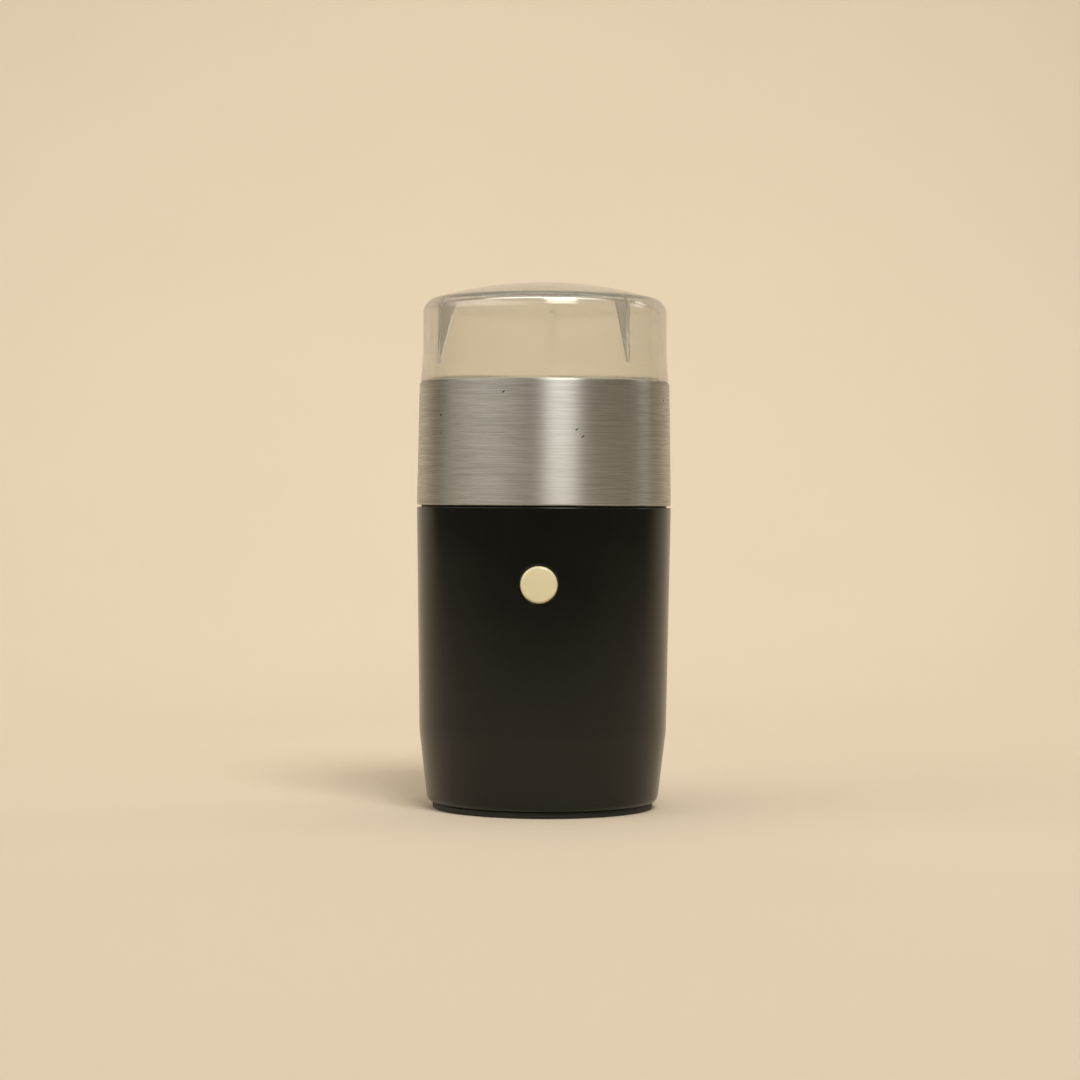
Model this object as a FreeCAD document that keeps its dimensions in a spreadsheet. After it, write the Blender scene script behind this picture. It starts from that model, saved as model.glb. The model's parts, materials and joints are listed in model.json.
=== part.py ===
import FreeCAD, Part
import math
import os
from types import SimpleNamespace

import Sketcher

# Electric spice grinder: clear lid, steel bowl, moulded motor housing with one push button.
# Millimetres, +Z up, origin on the table under the middle of the foot, button towards -Y.

SIZES = {
    # outline of the whole grinder
    "foot_height": 1.8,
    "seam_height": 94.8,
    "seam_gap": 0.5,
    "bowl_height": 38.55,
    "lid_height": 31.4,
    "widest_radius": 40.0,
    # housing
    "base_inset": 3.8,
    "knee_inset": 1.15,
    "knee_height": 24.3,
    "base_corner": 2.6,
    "top_edge": 0.35,
    "housing_wall": 2.4,
    "housing_floor": 2.5,
    "vent_count": 12,
    "vent_angle": 15.0,
    "vent_width": 2.4,
    "vent_inner": 10.0,
    "vent_outer": 24.5,
    "column_angle": 60.0,
    "column_inset": 8.5,
    "column_radius": 3.2,
    "screw_boss_height": 6.05,
    "pilot_clearance": 0.05,
    "web_thickness": 1.8,
    # foot ring
    "foot_inset": 1.6,
    "foot_width": 4.6,
    "tongue_inset": 3.4,
    "tongue_width": 1.6,
    "tongue_height": 1.2,
    "tongue_gap": 0.05,
    # cord inlet
    "inlet_height": 13.5,
    "inlet_radius": 4.6,
    "inlet_inset": 0.6,
    "inlet_depth": 4.4,
    "cord_radius": 3.2,
    "grommet_flange": 6.4,
    "grommet_lip": 1.6,
    "grommet_gap": 0.05,
    # motor carrier, which closes the housing
    "carrier_inset": 1.4,
    "rebate_gap": 0.2,
    "carrier_flange": 2.0,
    "deck_thickness": 3.0,
    "skirt_depth": 8.0,
    "skirt_wall": 2.0,
    "skirt_gap": 0.25,
    "boss_radius": 9.0,
    "boss_height": 5.2,
    "boss_gap": 0.1,
    "shaft_hole": 3.6,
    "seal_radius": 6.0,
    "seal_seat": 0.6,
    "carrier_screw_radius": 1.5,
    "carrier_screw_head": 3.0,
    "carrier_screw_length": 19.0,
    "head_height": 2.0,
    # grinding bowl
    "bowl_wall": 1.2,
    "bowl_taper": 0.7,
    "bowl_floor_corner": 6.0,
    "bowl_base_edge": 0.55,
    "bowl_rim_edge": 0.7,
    "gasket_thickness": 0.8,
    "gasket_radius": 13.0,
    "nut_radius": 13.5,
    "nut_height": 3.0,
    "nut_notch": 3.0,
    # lid
    "lid_step": 0.3,
    "lid_flare": 0.65,
    "lid_flare_height": 13.4,
    "lid_wall": 2.1,
    "lid_top_wall": 2.2,
    "lid_corner": 5.0,
    "lid_inner_corner": 3.0,
    "dome_radius": 125.0,
    "spigot_depth": 4.0,
    "spigot_wall": 1.3,
    "spigot_gap": 0.2,
    "baffle_count": 3,
    "baffle_angle": 80.0,
    "baffle_depth": 5.0,
    "baffle_rise": 3.9,
    "baffle_thickness": 1.4,
    # push button and its switch
    "button_drop": 23.6,
    "button_radius": 5.65,
    "button_gap": 0.3,
    "button_proud": 0.8,
    "button_edge": 0.9,
    "button_travel": 2.0,
    "collar_radius": 7.2,
    "collar_inset": 3.85,
    "collar_thickness": 1.0,
    "collar_stop_gap": 0.1,
    "guide_radius": 8.2,
    "stem_radius": 1.5,
    "stem_gap": 0.15,
    "stem_reach": 0.5,
    "spring_room": 3.35,
    "guide_wall": 1.2,
    "tower_half_width": 9.0,
    "tower_rib": 1.4,
    "tower_rise": 1.4,
    "tower_cover": 5.6,
    "spring_wire": 0.5,
    "spring_radius": 2.8,
    "spring_turns": 3,
    "switch_thickness": 5.8,
    "switch_depth": 6.5,
    "switch_length": 12.8,
    "switch_gap": 1.5,
    "switch_drop": 6.4,
    "lever_gap": 1.1,
    "pivot_rise": 1.2,
    "pivot_offset": 0.7,
    "pin_radius": 0.4,
    "eye_radius": 0.65,
    "ear_radius": 1.0,
    "ear_thickness": 0.8,
    "lever_length": 6.3,
    "lever_thickness": 0.4,
    "lever_width": 3.6,
    "lever_angle": 21.0,
    "tab_length": 4.5,
    "tab_width": 2.4,
    "tab_thickness": 0.5,
    # motor field
    "core_width": 50.0,
    "core_corner": 4.0,
    "core_bore": 13.5,
    "side_iron": 4.5,
    "back_iron": 5.5,
    "pole_half_width": 7.0,
    "pole_shoe_thickness": 2.8,
    "pole_shoe_angle": 50.0,
    "coil_overhang": 6.0,
    "coil_leg_gap": 0.4,
    "coil_clearance": 0.3,
    "coil_corner": 5.0,
    # motor brackets and what hangs the motor
    "screw_edge_x": 3.4,
    "screw_edge_y": 3.0,
    "motor_screw_radius": 1.5,
    "screw_clearance": 0.1,
    "leg_radius": 2.8,
    "upper_leg": 10.05,
    "mount_radius": 4.5,
    "mount_height": 4.0,
    "mount_pad": 2.0,
    "plate_thickness": 2.0,
    "hub_radius": 9.0,
    "upper_bearing_height": 5.5,
    "bearing_radius": 6.5,
    "bearing_clearance": 0.05,
    "lower_plate_thickness": 3.0,
    "lower_hub_drop": 5.0,
    "lower_bearing_height": 7.0,
    # brushes
    "brush_length": 10.0,
    "brush_width": 6.0,
    "brush_height": 5.0,
    "brush_rise": 4.5,
    "box_gap": 0.7,
    "brush_spring_room": 5.95,
    "box_wall": 1.3,
    "brush_slack": 0.05,
    "brush_spring_radius": 2.0,
    "brush_spring_turns": 4,
    "brush_spring_wire": 0.45,
    "cap_plug": 2.0,
    "cap_flange": 1.0,
    # rotor
    "shaft_radius": 3.0,
    "shaft_tail": 1.5,
    "fan_seat_radius": 2.5,
    "thread_radius": 2.0,
    "thread_length": 5.0,
    "rotor_gap": 0.5,
    "slot_count": 12,
    "slot_width": 2.4,
    "slot_mouth": 1.0,
    "slot_depth": 5.0,
    "tooth_tip": 1.0,
    "winding_overhang": 6.0,
    "winding_corner": 2.5,
    "winding_core": 4.0,
    "winding_clearance": 0.1,
    "winding_gap": 0.5,
    "commutator_radius": 9.0,
    "commutator_rise": 2.5,
    "commutator_height": 8.5,
    "riser_step": 0.9,
    "riser_height": 1.4,
    "bar_gap": 0.6,
    "bar_gap_depth": 0.8,
    "washer_radius": 5.0,
    "washer_thickness": 0.4,
    "washer_gap": 0.15,
    # fan
    "fan_floor_gap": 7.7,
    "fan_hub_gap": 0.5,
    "fan_tip_gap": 1.4,
    "fan_plate": 1.0,
    "fan_height": 9.0,
    "fan_hub_radius": 5.5,
    "fan_blade_count": 9,
    "fan_blade_thickness": 1.0,
    # blade
    "blade_rise": 2.75,
    "blade_thickness": 1.2,
    "blade_hub_radius": 7.0,
    "blade_reach": 31.0,
    "blade_root_width": 12.0,
    "blade_tip_width": 8.0,
    "blade_lift": 3.5,
    "blade_twist": 14.0,
    "blade_edge": 2.5,
    "cap_nut_radius": 5.0,
    "cap_nut_height": 5.5,
}


class Size:
    """A length or angle: its number and the sheet expression that gives it."""

    def __init__(self, value, text):
        self.value = value
        self.text = text

    def __add__(self, other):
        other = as_size(other)
        return Size(self.value + other.value, f"({self.text} + {other.text})")

    def __sub__(self, other):
        other = as_size(other)
        return Size(self.value - other.value, f"({self.text} - {other.text})")

    def __mul__(self, other):
        other = as_size(other)
        return Size(self.value * other.value, f"({self.text} * {other.text})")

    def __truediv__(self, other):
        other = as_size(other)
        return Size(self.value / other.value, f"({self.text} / {other.text})")

    def __neg__(self):
        return Size(-self.value, f"(0 - {self.text})")

    __radd__ = __add__
    __rmul__ = __mul__

    def __rsub__(self, other):
        return as_size(other) - self


def as_size(number):
    return number if isinstance(number, Size) else Size(float(number), repr(float(number)))


def root(size):
    return Size(math.sqrt(size.value), f"sqrt({size.text})")


def sine(angle):
    return Size(math.sin(math.radians(angle.value)), f"sin({angle.text})")


def cosine(angle):
    return Size(math.cos(math.radians(angle.value)), f"cos({angle.text})")


doc = FreeCAD.newDocument("spice_grinder")
sheet = doc.addObject("Spreadsheet::Sheet", "sizes")
for row, (alias, number) in enumerate(SIZES.items(), 1):
    sheet.set(f"A{row}", alias)
    sheet.set(f"B{row}", str(number))
    sheet.setAlias(f"B{row}", alias)
doc.recompute()
s = SimpleNamespace(**{alias: Size(float(number), f"sizes.{alias}") for alias, number in SIZES.items()})

# Heights and radii that more than one piece is built from
housing_top = s.seam_height - s.seam_gap / 2
deck_top = s.seam_height + s.seam_gap / 2
deck_bottom = deck_top - s.deck_thickness
ledge = deck_top - s.carrier_flange
floor_top = s.foot_height + s.housing_floor
rim_height = deck_top + s.bowl_height
overall_height = rim_height + s.lid_height
base_radius = s.widest_radius - s.base_inset
knee_radius = s.widest_radius - s.knee_inset
carrier_radius = s.widest_radius - s.carrier_inset
bowl_rim_radius = s.widest_radius - s.bowl_taper
lid_base_radius = bowl_rim_radius - s.lid_step
lid_radius = lid_base_radius - s.lid_flare
foot_outer = base_radius - s.foot_inset
foot_inner = foot_outer - s.foot_width
tongue_outer = base_radius - s.tongue_inset
tongue_inner = tongue_outer - s.tongue_width
inlet_face = base_radius - s.inlet_inset
bowl_floor = deck_top + s.bowl_wall
boss_top = bowl_floor + s.boss_height - s.bowl_wall
nut_bottom = bowl_floor + s.gasket_thickness
baffle_foot = rim_height + s.baffle_rise
blade_height = boss_top + s.blade_rise
shaft_shoulder = blade_height
shaft_top = shaft_shoulder + s.blade_thickness + s.thread_length

# Button, tower and switch, from the outer wall inwards
button_height = s.seam_height - s.button_drop
collar_face = s.widest_radius - s.collar_inset
guide_wall_front = collar_face - s.collar_thickness - s.spring_room
guide_wall_back = guide_wall_front - s.guide_wall
stem_tip = guide_wall_back - s.stem_reach
switch_face = stem_tip - s.button_travel - s.lever_gap
switch_base = button_height - s.switch_drop
tower_back = s.tower_cover - switch_face
tower_top = switch_base + s.switch_length + s.tower_rise

# Motor heights, from the floor up and from the deck down; the field core fills what is between
fan_top = floor_top + s.fan_floor_gap + s.fan_height + s.fan_plate
shaft_bottom = floor_top + s.fan_floor_gap - s.shaft_tail
lower_hub_bottom = fan_top + s.fan_hub_gap
lower_plate_bottom = lower_hub_bottom + s.lower_hub_drop
lower_plate_top = lower_plate_bottom + s.lower_plate_thickness
lower_bearing_bottom = lower_plate_top - s.lower_bearing_height
brush_bottom = lower_plate_top + s.brush_rise
commutator_bottom = lower_plate_top + s.commutator_rise
core_bottom = commutator_bottom + s.commutator_height + s.winding_gap + s.winding_overhang
pad_bottom = deck_bottom - s.mount_pad
upper_plate_top = pad_bottom - s.mount_height
upper_plate_bottom = upper_plate_top - s.plate_thickness
upper_hub_bottom = upper_plate_top - s.upper_bearing_height
core_top = upper_plate_bottom - s.upper_leg
core_height = core_top - core_bottom

# Motor plan: the core reaches to the switch, and the coils and slots follow it
fan_radius = -tower_back - s.fan_tip_gap
core_half_breadth = switch_face - s.switch_depth - s.switch_gap
window_half_width = s.core_width / 2 - s.side_iron
window_half_breadth = core_half_breadth - s.back_iron
pole_shoe_radius = s.core_bore + s.pole_shoe_thickness
coil_inner_x = pole_shoe_radius + s.coil_clearance
coil_outer_x = window_half_width - s.coil_clearance
screw_x = s.core_width / 2 - s.screw_edge_x
screw_y = core_half_breadth - s.screw_edge_y
coil_half_breadth = screw_y - s.leg_radius - s.coil_leg_gap
hole_radius = s.motor_screw_radius + s.screw_clearance
rotor_radius = s.core_bore - s.rotor_gap
slot_shoulder = rotor_radius - s.tooth_tip
slot_root = slot_shoulder - s.slot_depth
winding_radius = rotor_radius - s.tooth_tip
riser_radius = s.commutator_radius + s.riser_step
box_inner = riser_radius + s.box_gap
spring_start = s.commutator_radius + s.brush_slack + s.brush_length
box_outer = spring_start + s.brush_spring_room + s.cap_plug
motor_corners = [(screw_x, screw_y), (-screw_x, screw_y), (-screw_x, -screw_y), (screw_x, -screw_y)]

# Columns that carry the screws of the motor carrier
column_distance = s.widest_radius - s.column_inset
column_top = deck_bottom - s.screw_boss_height
column_x = column_distance * cosine(s.column_angle)
column_y = column_distance * sine(s.column_angle)
columns = [(column_x, column_y), (-column_x, column_y), (-column_x, -column_y), (column_x, -column_y)]


def housing_radius(height):
    """Outer radius of the housing between its knee and its top."""
    slope = (s.widest_radius - knee_radius) / (housing_top - s.knee_height)
    return knee_radius + slope * (height - s.knee_height)


def foot_slope_radius(height):
    """Outer radius of the housing between its base and its knee."""
    slope = (knee_radius - base_radius) / (s.knee_height - s.foot_height)
    return base_radius + slope * (height - s.foot_height)


def bowl_radius(height):
    """Outer radius of the bowl, which narrows slightly towards its rim."""
    slope = (s.widest_radius - bowl_rim_radius) / (rim_height - deck_top)
    return s.widest_radius - slope * (height - deck_top)


# Ways of drawing, shared by all pieces

def new_body(label):
    body = doc.addObject("PartDesign::Body", label)
    body.Label = label
    return body


def origin_feature(body, role):
    return next(item for item in body.Origin.OriginFeatures if item.Role == role)


def new_sketch(body, name, role="XY_Plane", height=None, turn=None):
    """A sketch on one of the body's own planes, moved along its normal and turned about Z."""
    sketch = body.newObject("Sketcher::SketchObject", name)
    sketch.AttachmentSupport = [(origin_feature(body, role), "")]
    sketch.MapMode = "FlatFace"
    if turn is not None:
        axis = FreeCAD.Vector(0, 0, 1) if role == "XY_Plane" else FreeCAD.Vector(0, 1, 0)
        sketch.AttachmentOffset = FreeCAD.Placement(FreeCAD.Vector(), FreeCAD.Rotation(axis, turn.value))
        sketch.setExpression("AttachmentOffset.Rotation.Angle", turn.text)
    if height is not None:
        offset = sketch.AttachmentOffset
        offset.Base = FreeCAD.Vector(0, 0, height.value)
        sketch.AttachmentOffset = offset
        sketch.setExpression("AttachmentOffset.Base.z", height.text)
    return sketch


def bind(sketch, kind, places, size):
    index = sketch.addConstraint(Sketcher.Constraint(kind, *places, size.value))
    sketch.setExpression(f"Constraints[{index}]", size.text)


def outline(sketch, corners):
    """A closed outline. A corner is (x, y), or (x, y, radius, turn) where an arc arrives at it,
    with turn 1 for an arc that runs counterclockwise and -1 for clockwise."""
    corners = [tuple(as_size(item) for item in corner) for corner in corners]
    count = len(corners)
    first = sketch.GeometryCount
    starts = []
    for index, corner in enumerate(corners):
        following = corners[(index + 1) % count]
        begin = FreeCAD.Vector(corner[0].value, corner[1].value, 0)
        end = FreeCAD.Vector(following[0].value, following[1].value, 0)
        if len(following) == 2:
            sketch.addGeometry(Part.LineSegment(begin, end), False)
            starts.append((1, 2))
            continue
        radius, turn = following[2], following[3].value
        chord = end - begin
        side = FreeCAD.Vector(-chord.y, chord.x, 0) * (turn / chord.Length)
        reach = math.sqrt(max(radius.value ** 2 - (chord.Length / 2) ** 2, 0.0))
        centre = (begin + end) * 0.5 + side * reach
        if turn < 0:
            begin, end = end, begin
        angles = [math.atan2(point.y - centre.y, point.x - centre.x) for point in (begin, end)]
        circle = Part.Circle(centre, FreeCAD.Vector(0, 0, 1), radius.value)
        sketch.addGeometry(Part.ArcOfCircle(circle, angles[0], angles[1]), False)
        starts.append((1, 2) if turn > 0 else (2, 1))
    for index, corner in enumerate(corners):
        here, after = first + index, first + (index + 1) % count
        joined = (here, starts[index][1], after, starts[(index + 1) % count][0])
        sketch.addConstraint(Sketcher.Constraint("Coincident", *joined))
        bind(sketch, "DistanceX", (-1, 1, here, starts[index][0]), corner[0])
        bind(sketch, "DistanceY", (-1, 1, here, starts[index][0]), corner[1])
        following = corners[(index + 1) % count]
        if len(following) == 2:
            continue
        wide, tall = following[0] - corner[0], following[1] - corner[1]
        if math.hypot(wide.value, tall.value) < 1.999 * following[2].value:
            bind(sketch, "Radius", (here,), following[2])
        elif abs(tall.value) > abs(wide.value):
            bind(sketch, "DistanceX", (-1, 1, here, 3), (corner[0] + following[0]) / 2)
        else:
            bind(sketch, "DistanceY", (-1, 1, here, 3), (corner[1] + following[1]) / 2)


def rectangle(sketch, low_x, low_y, high_x, high_y):
    outline(sketch, [(low_x, low_y), (high_x, low_y), (high_x, high_y), (low_x, high_y)])


def rounded_rectangle(sketch, half_x, half_y, radius):
    """A rectangle about the sketch's origin with round corners."""
    outline(sketch, [
        (half_x, -half_y + radius, radius, 1),
        (half_x, half_y - radius),
        (half_x - radius, half_y, radius, 1),
        (-half_x + radius, half_y),
        (-half_x, half_y - radius, radius, 1),
        (-half_x, -half_y + radius),
        (-half_x + radius, -half_y, radius, 1),
        (half_x - radius, -half_y),
    ])


def circles(sketch, places, radius):
    for x, y in places:
        x, y = as_size(x), as_size(y)
        circle = Part.Circle(FreeCAD.Vector(x.value, y.value, 0), FreeCAD.Vector(0, 0, 1), radius.value)
        index = sketch.addGeometry(circle, False)
        bind(sketch, "DistanceX", (-1, 1, index, 3), x)
        bind(sketch, "DistanceY", (-1, 1, index, 3), y)
        bind(sketch, "Radius", (index,), radius)


def volume(body):
    return body.Tip.Shape.Volume if body.Tip else 0.0


def finish_feature(body, feature, sketch, sign):
    """Recomputes, and stops if the feature added or removed nothing."""
    before = finish_feature.volumes.get(body.Name, 0.0)
    if sketch is not None:
        sketch.Visibility = False
    doc.recompute()
    after = volume(body)
    if (after - before) * sign <= 0:
        raise RuntimeError(f"{body.Label}: {feature.Name} changed nothing ({before:.3f} to {after:.3f})")
    finish_feature.volumes[body.Name] = after
    return feature


finish_feature.volumes = {}


def turned(body, name, corners, cut=False):
    """A solid, or a groove, turned about the body's Z axis from an outline of radius and height."""
    sketch = new_sketch(body, f"{name}_outline", "XZ_Plane")
    outline(sketch, corners)
    feature = body.newObject("PartDesign::Groove" if cut else "PartDesign::Revolution", name)
    feature.Profile = sketch
    feature.ReferenceAxis = (sketch, ["V_Axis"])
    feature.Angle = 360
    return finish_feature(body, feature, sketch, -1 if cut else 1)


def extruded(body, name, sketch, length, reverse=False, middle=False, cut=False):
    feature = body.newObject("PartDesign::Pocket" if cut else "PartDesign::Pad", name)
    feature.Profile = sketch
    feature.Length = length.value
    feature.setExpression("Length", length.text)
    feature.Reversed = reverse
    feature.Midplane = middle
    return finish_feature(body, feature, sketch, -1 if cut else 1)


def patterned(body, name, features, count):
    """Copies of features round the body's Z axis."""
    feature = body.newObject("PartDesign::PolarPattern", name)
    feature.Originals = features
    feature.Axis = (origin_feature(body, "Z_Axis"), [""])
    feature.Angle = 360
    feature.Occurrences = int(count.value)
    feature.setExpression("Occurrences", count.text)
    body.Tip = feature
    doc.recompute()
    finish_feature.volumes[body.Name] = volume(body)
    return feature


def ring_edges(body, radius, height):
    """Names of the round edges of that radius at that height."""
    names = []
    for number, edge in enumerate(body.Tip.Shape.Edges, 1):
        if edge.Degenerated or not isinstance(edge.Curve, Part.Circle):
            continue
        curve = edge.Curve
        if abs(curve.Radius - radius.value) < 1e-3 and abs(curve.Center.z - height.value) < 1e-3:
            names.append(f"Edge{number}")
    return names


def rounded(body, name, radius, edges, chamfer=False):
    feature = body.newObject("PartDesign::Chamfer" if chamfer else "PartDesign::Fillet", name)
    feature.Base = (body.Tip if body.Tip is not feature else feature.BaseFeature, edges)
    prop = "Size" if chamfer else "Radius"
    setattr(feature, prop, radius.value)
    feature.setExpression(prop, radius.text)
    doc.recompute()
    finish_feature.volumes[body.Name] = volume(body)
    return feature


def place(item, x=None, y=None, z=None, axis=None, angle=0.0):
    """Sets an object's placement, with its position bound to the sheet."""
    if axis is not None:
        item.Placement = FreeCAD.Placement(FreeCAD.Vector(), FreeCAD.Rotation(FreeCAD.Vector(*axis), angle))
    for letter, size in (("x", x), ("y", y), ("z", z)):
        if size is not None:
            item.setExpression(f"Placement.Base.{letter}", as_size(size).text)


def mirrored(source, normal):
    item = doc.addObject("Part::Mirroring", f"{source.Name}_mirrored")
    item.Source = source
    item.Normal = FreeCAD.Vector(*normal)
    return item


def grouped(label, items):
    """Like pieces that share one node, each a separate solid."""
    group = doc.addObject("Part::Compound", label)
    group.Label = label
    group.Links = items
    return group


def four_corners(label, body):
    """The body and its mirror images in the other three corners."""
    right = mirrored(body, (0, 1, 0))
    left_front = mirrored(body, (1, 0, 0))
    left_back = mirrored(right, (1, 0, 0))
    return grouped(label, [body, right, left_front, left_back])


# Outside pieces

def make_housing():
    """Black moulded cup: floor with vents, tapering wall, columns, switch tower and cord inlet."""
    body = new_body("housing")
    inner_top = housing_radius(ledge) - s.housing_wall
    rebate = carrier_radius + s.rebate_gap
    turned(body, "shell", [
        (0, s.foot_height),
        (tongue_inner, s.foot_height),
        (tongue_inner, s.foot_height + s.tongue_height),
        (tongue_outer, s.foot_height + s.tongue_height),
        (tongue_outer, s.foot_height),
        (base_radius, s.foot_height),
        (knee_radius, s.knee_height),
        (s.widest_radius, housing_top),
        (rebate, housing_top),
        (rebate, ledge),
        (inner_top, ledge),
        (knee_radius - s.housing_wall, s.knee_height),
        (foot_slope_radius(floor_top) - s.housing_wall, floor_top),
        (0, floor_top),
    ])

    sketch = new_sketch(body, "vent_outline", "XY_Plane", s.foot_height, s.vent_angle)
    half = s.vent_width / 2
    outline(sketch, [
        (s.vent_inner, -half),
        (s.vent_outer, -half),
        (s.vent_outer, half, half, 1),
        (s.vent_inner, half),
    ])
    vent = extruded(body, "vent", sketch, s.housing_floor + 1, reverse=True, cut=True)
    patterned(body, "vents", [vent], s.vent_count)

    sketch = new_sketch(body, "column_outline", "XY_Plane", floor_top)
    circles(sketch, columns, s.column_radius)
    extruded(body, "columns_pad", sketch, column_top - floor_top)
    turn = s.column_angle
    for number, direction in enumerate((turn, 180 - turn, turn + 180, 360 - turn)):
        sketch = new_sketch(body, f"web_outline_{number}", "XY_Plane", floor_top, direction)
        half = s.web_thickness / 2
        rectangle(sketch, column_distance, -half, s.widest_radius + 1, half)
        extruded(body, f"web_{number}", sketch, column_top - floor_top)
    sketch = new_sketch(body, "pilot_outline", "XY_Plane", column_top)
    circles(sketch, columns, s.carrier_screw_radius + s.pilot_clearance)
    extruded(body, "pilot_holes", sketch, s.carrier_screw_length - 4, cut=True)

    # tower that guides the button's stem and holds the switch
    sketch = new_sketch(body, "tower_outline", "XY_Plane", floor_top)
    wide = s.tower_half_width + s.tower_rib
    slim = s.switch_thickness / 2 + 0.1
    front = -(s.widest_radius + 1)
    outline(sketch, [
        (wide, front),
        (wide, -guide_wall_back),
        (slim + s.tower_rib, -guide_wall_back),
        (slim + s.tower_rib, tower_back),
        (slim, tower_back),
        (slim, -guide_wall_back),
        (-slim, -guide_wall_back),
        (-slim, tower_back),
        (-slim - s.tower_rib, tower_back),
        (-slim - s.tower_rib, -guide_wall_back),
        (-wide, -guide_wall_back),
        (-wide, front),
        (-s.tower_half_width, front),
        (-s.tower_half_width, -guide_wall_front),
        (s.tower_half_width, -guide_wall_front),
        (s.tower_half_width, front),
    ])
    extruded(body, "tower", sketch, tower_top - floor_top)
    sketch = new_sketch(body, "shelf_outline", "XY_Plane", floor_top)
    rectangle(sketch, -slim - 0.2, -switch_face + 2, slim + 0.2, -switch_face + 2 + s.tower_rib)
    extruded(body, "switch_shelf", sketch, switch_base - floor_top)

    sketch = new_sketch(body, "guide_outline", "XZ_Plane", collar_face + s.collar_stop_gap)
    circles(sketch, [(0, button_height)], s.guide_radius)
    extruded(body, "button_guide", sketch, s.housing_wall)

    sketch = new_sketch(body, "inlet_boss_outline", "XZ_Plane", -inlet_face)
    circles(sketch, [(0, s.inlet_height)], s.grommet_flange + 1.2)
    extruded(body, "inlet_boss", sketch, s.inlet_depth)

    # what the ribs reach past the outer wall is cut away
    outside = s.widest_radius + 4
    turned(body, "trim", [
        (base_radius, s.foot_height),
        (outside, s.foot_height),
        (outside, housing_top),
        (s.widest_radius, housing_top),
        (knee_radius, s.knee_height),
    ], cut=True)

    sketch = new_sketch(body, "button_hole_outline", "XZ_Plane", collar_face)
    circles(sketch, [(0, button_height)], s.button_radius + s.button_gap)
    extruded(body, "button_hole", sketch, s.widest_radius - collar_face + 2, reverse=True, cut=True)
    sketch = new_sketch(body, "stem_hole_outline", "XZ_Plane", guide_wall_back - 1)
    circles(sketch, [(0, button_height)], s.stem_radius + s.stem_gap)
    extruded(body, "stem_hole", sketch, guide_wall_front - guide_wall_back + 2, reverse=True, cut=True)
    sketch = new_sketch(body, "inlet_outline", "XZ_Plane", -inlet_face + s.inlet_depth + 1)
    circles(sketch, [(0, s.inlet_height)], s.inlet_radius)
    extruded(body, "inlet_hole", sketch, s.widest_radius - inlet_face + s.inlet_depth + 2, cut=True)
    sketch = new_sketch(body, "inlet_recess_outline", "XZ_Plane", -inlet_face)
    circles(sketch, [(0, s.inlet_height)], s.grommet_flange + 0.2)
    extruded(body, "inlet_recess", sketch, s.widest_radius - inlet_face + 1, cut=True)

    rounded(body, "base_round", s.base_corner, ring_edges(body, base_radius, s.foot_height))
    rounded(body, "top_round", s.top_edge, ring_edges(body, s.widest_radius, housing_top))
    return body


def make_foot_ring():
    """Rubber ring with a tongue that sits in the housing's groove."""
    body = new_body("foot_ring")
    gap = s.tongue_gap
    turned(body, "ring", [
        (foot_inner, 0),
        (foot_outer - 0.4, 0),
        (foot_outer, 0.4),
        (foot_outer, s.foot_height),
        (tongue_outer - gap, s.foot_height),
        (tongue_outer - gap, s.foot_height + s.tongue_height - gap * 2),
        (tongue_inner + gap, s.foot_height + s.tongue_height - gap * 2),
        (tongue_inner + gap, s.foot_height),
        (foot_inner, s.foot_height),
    ])
    return body


def make_cord_grommet():
    """Rubber bush in the cord inlet, with a flange each side of the wall."""
    body = new_body("cord_grommet")
    neck = s.inlet_radius - s.grommet_gap
    turned(body, "bush", [
        (s.cord_radius, -s.inlet_depth - s.grommet_lip),
        (s.grommet_flange - 0.6, -s.inlet_depth - s.grommet_lip),
        (s.grommet_flange, -s.inlet_depth - s.grommet_gap),
        (neck, -s.inlet_depth - s.grommet_gap),
        (neck, s.grommet_gap),
        (s.grommet_flange, s.grommet_gap),
        (s.grommet_flange, s.grommet_lip - 0.6),
        (s.grommet_flange - 0.6, s.grommet_lip),
        (s.cord_radius, s.grommet_lip),
    ])
    place(body, y=inlet_face, z=s.inlet_height, axis=(1, 0, 0), angle=-90)
    return body


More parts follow.
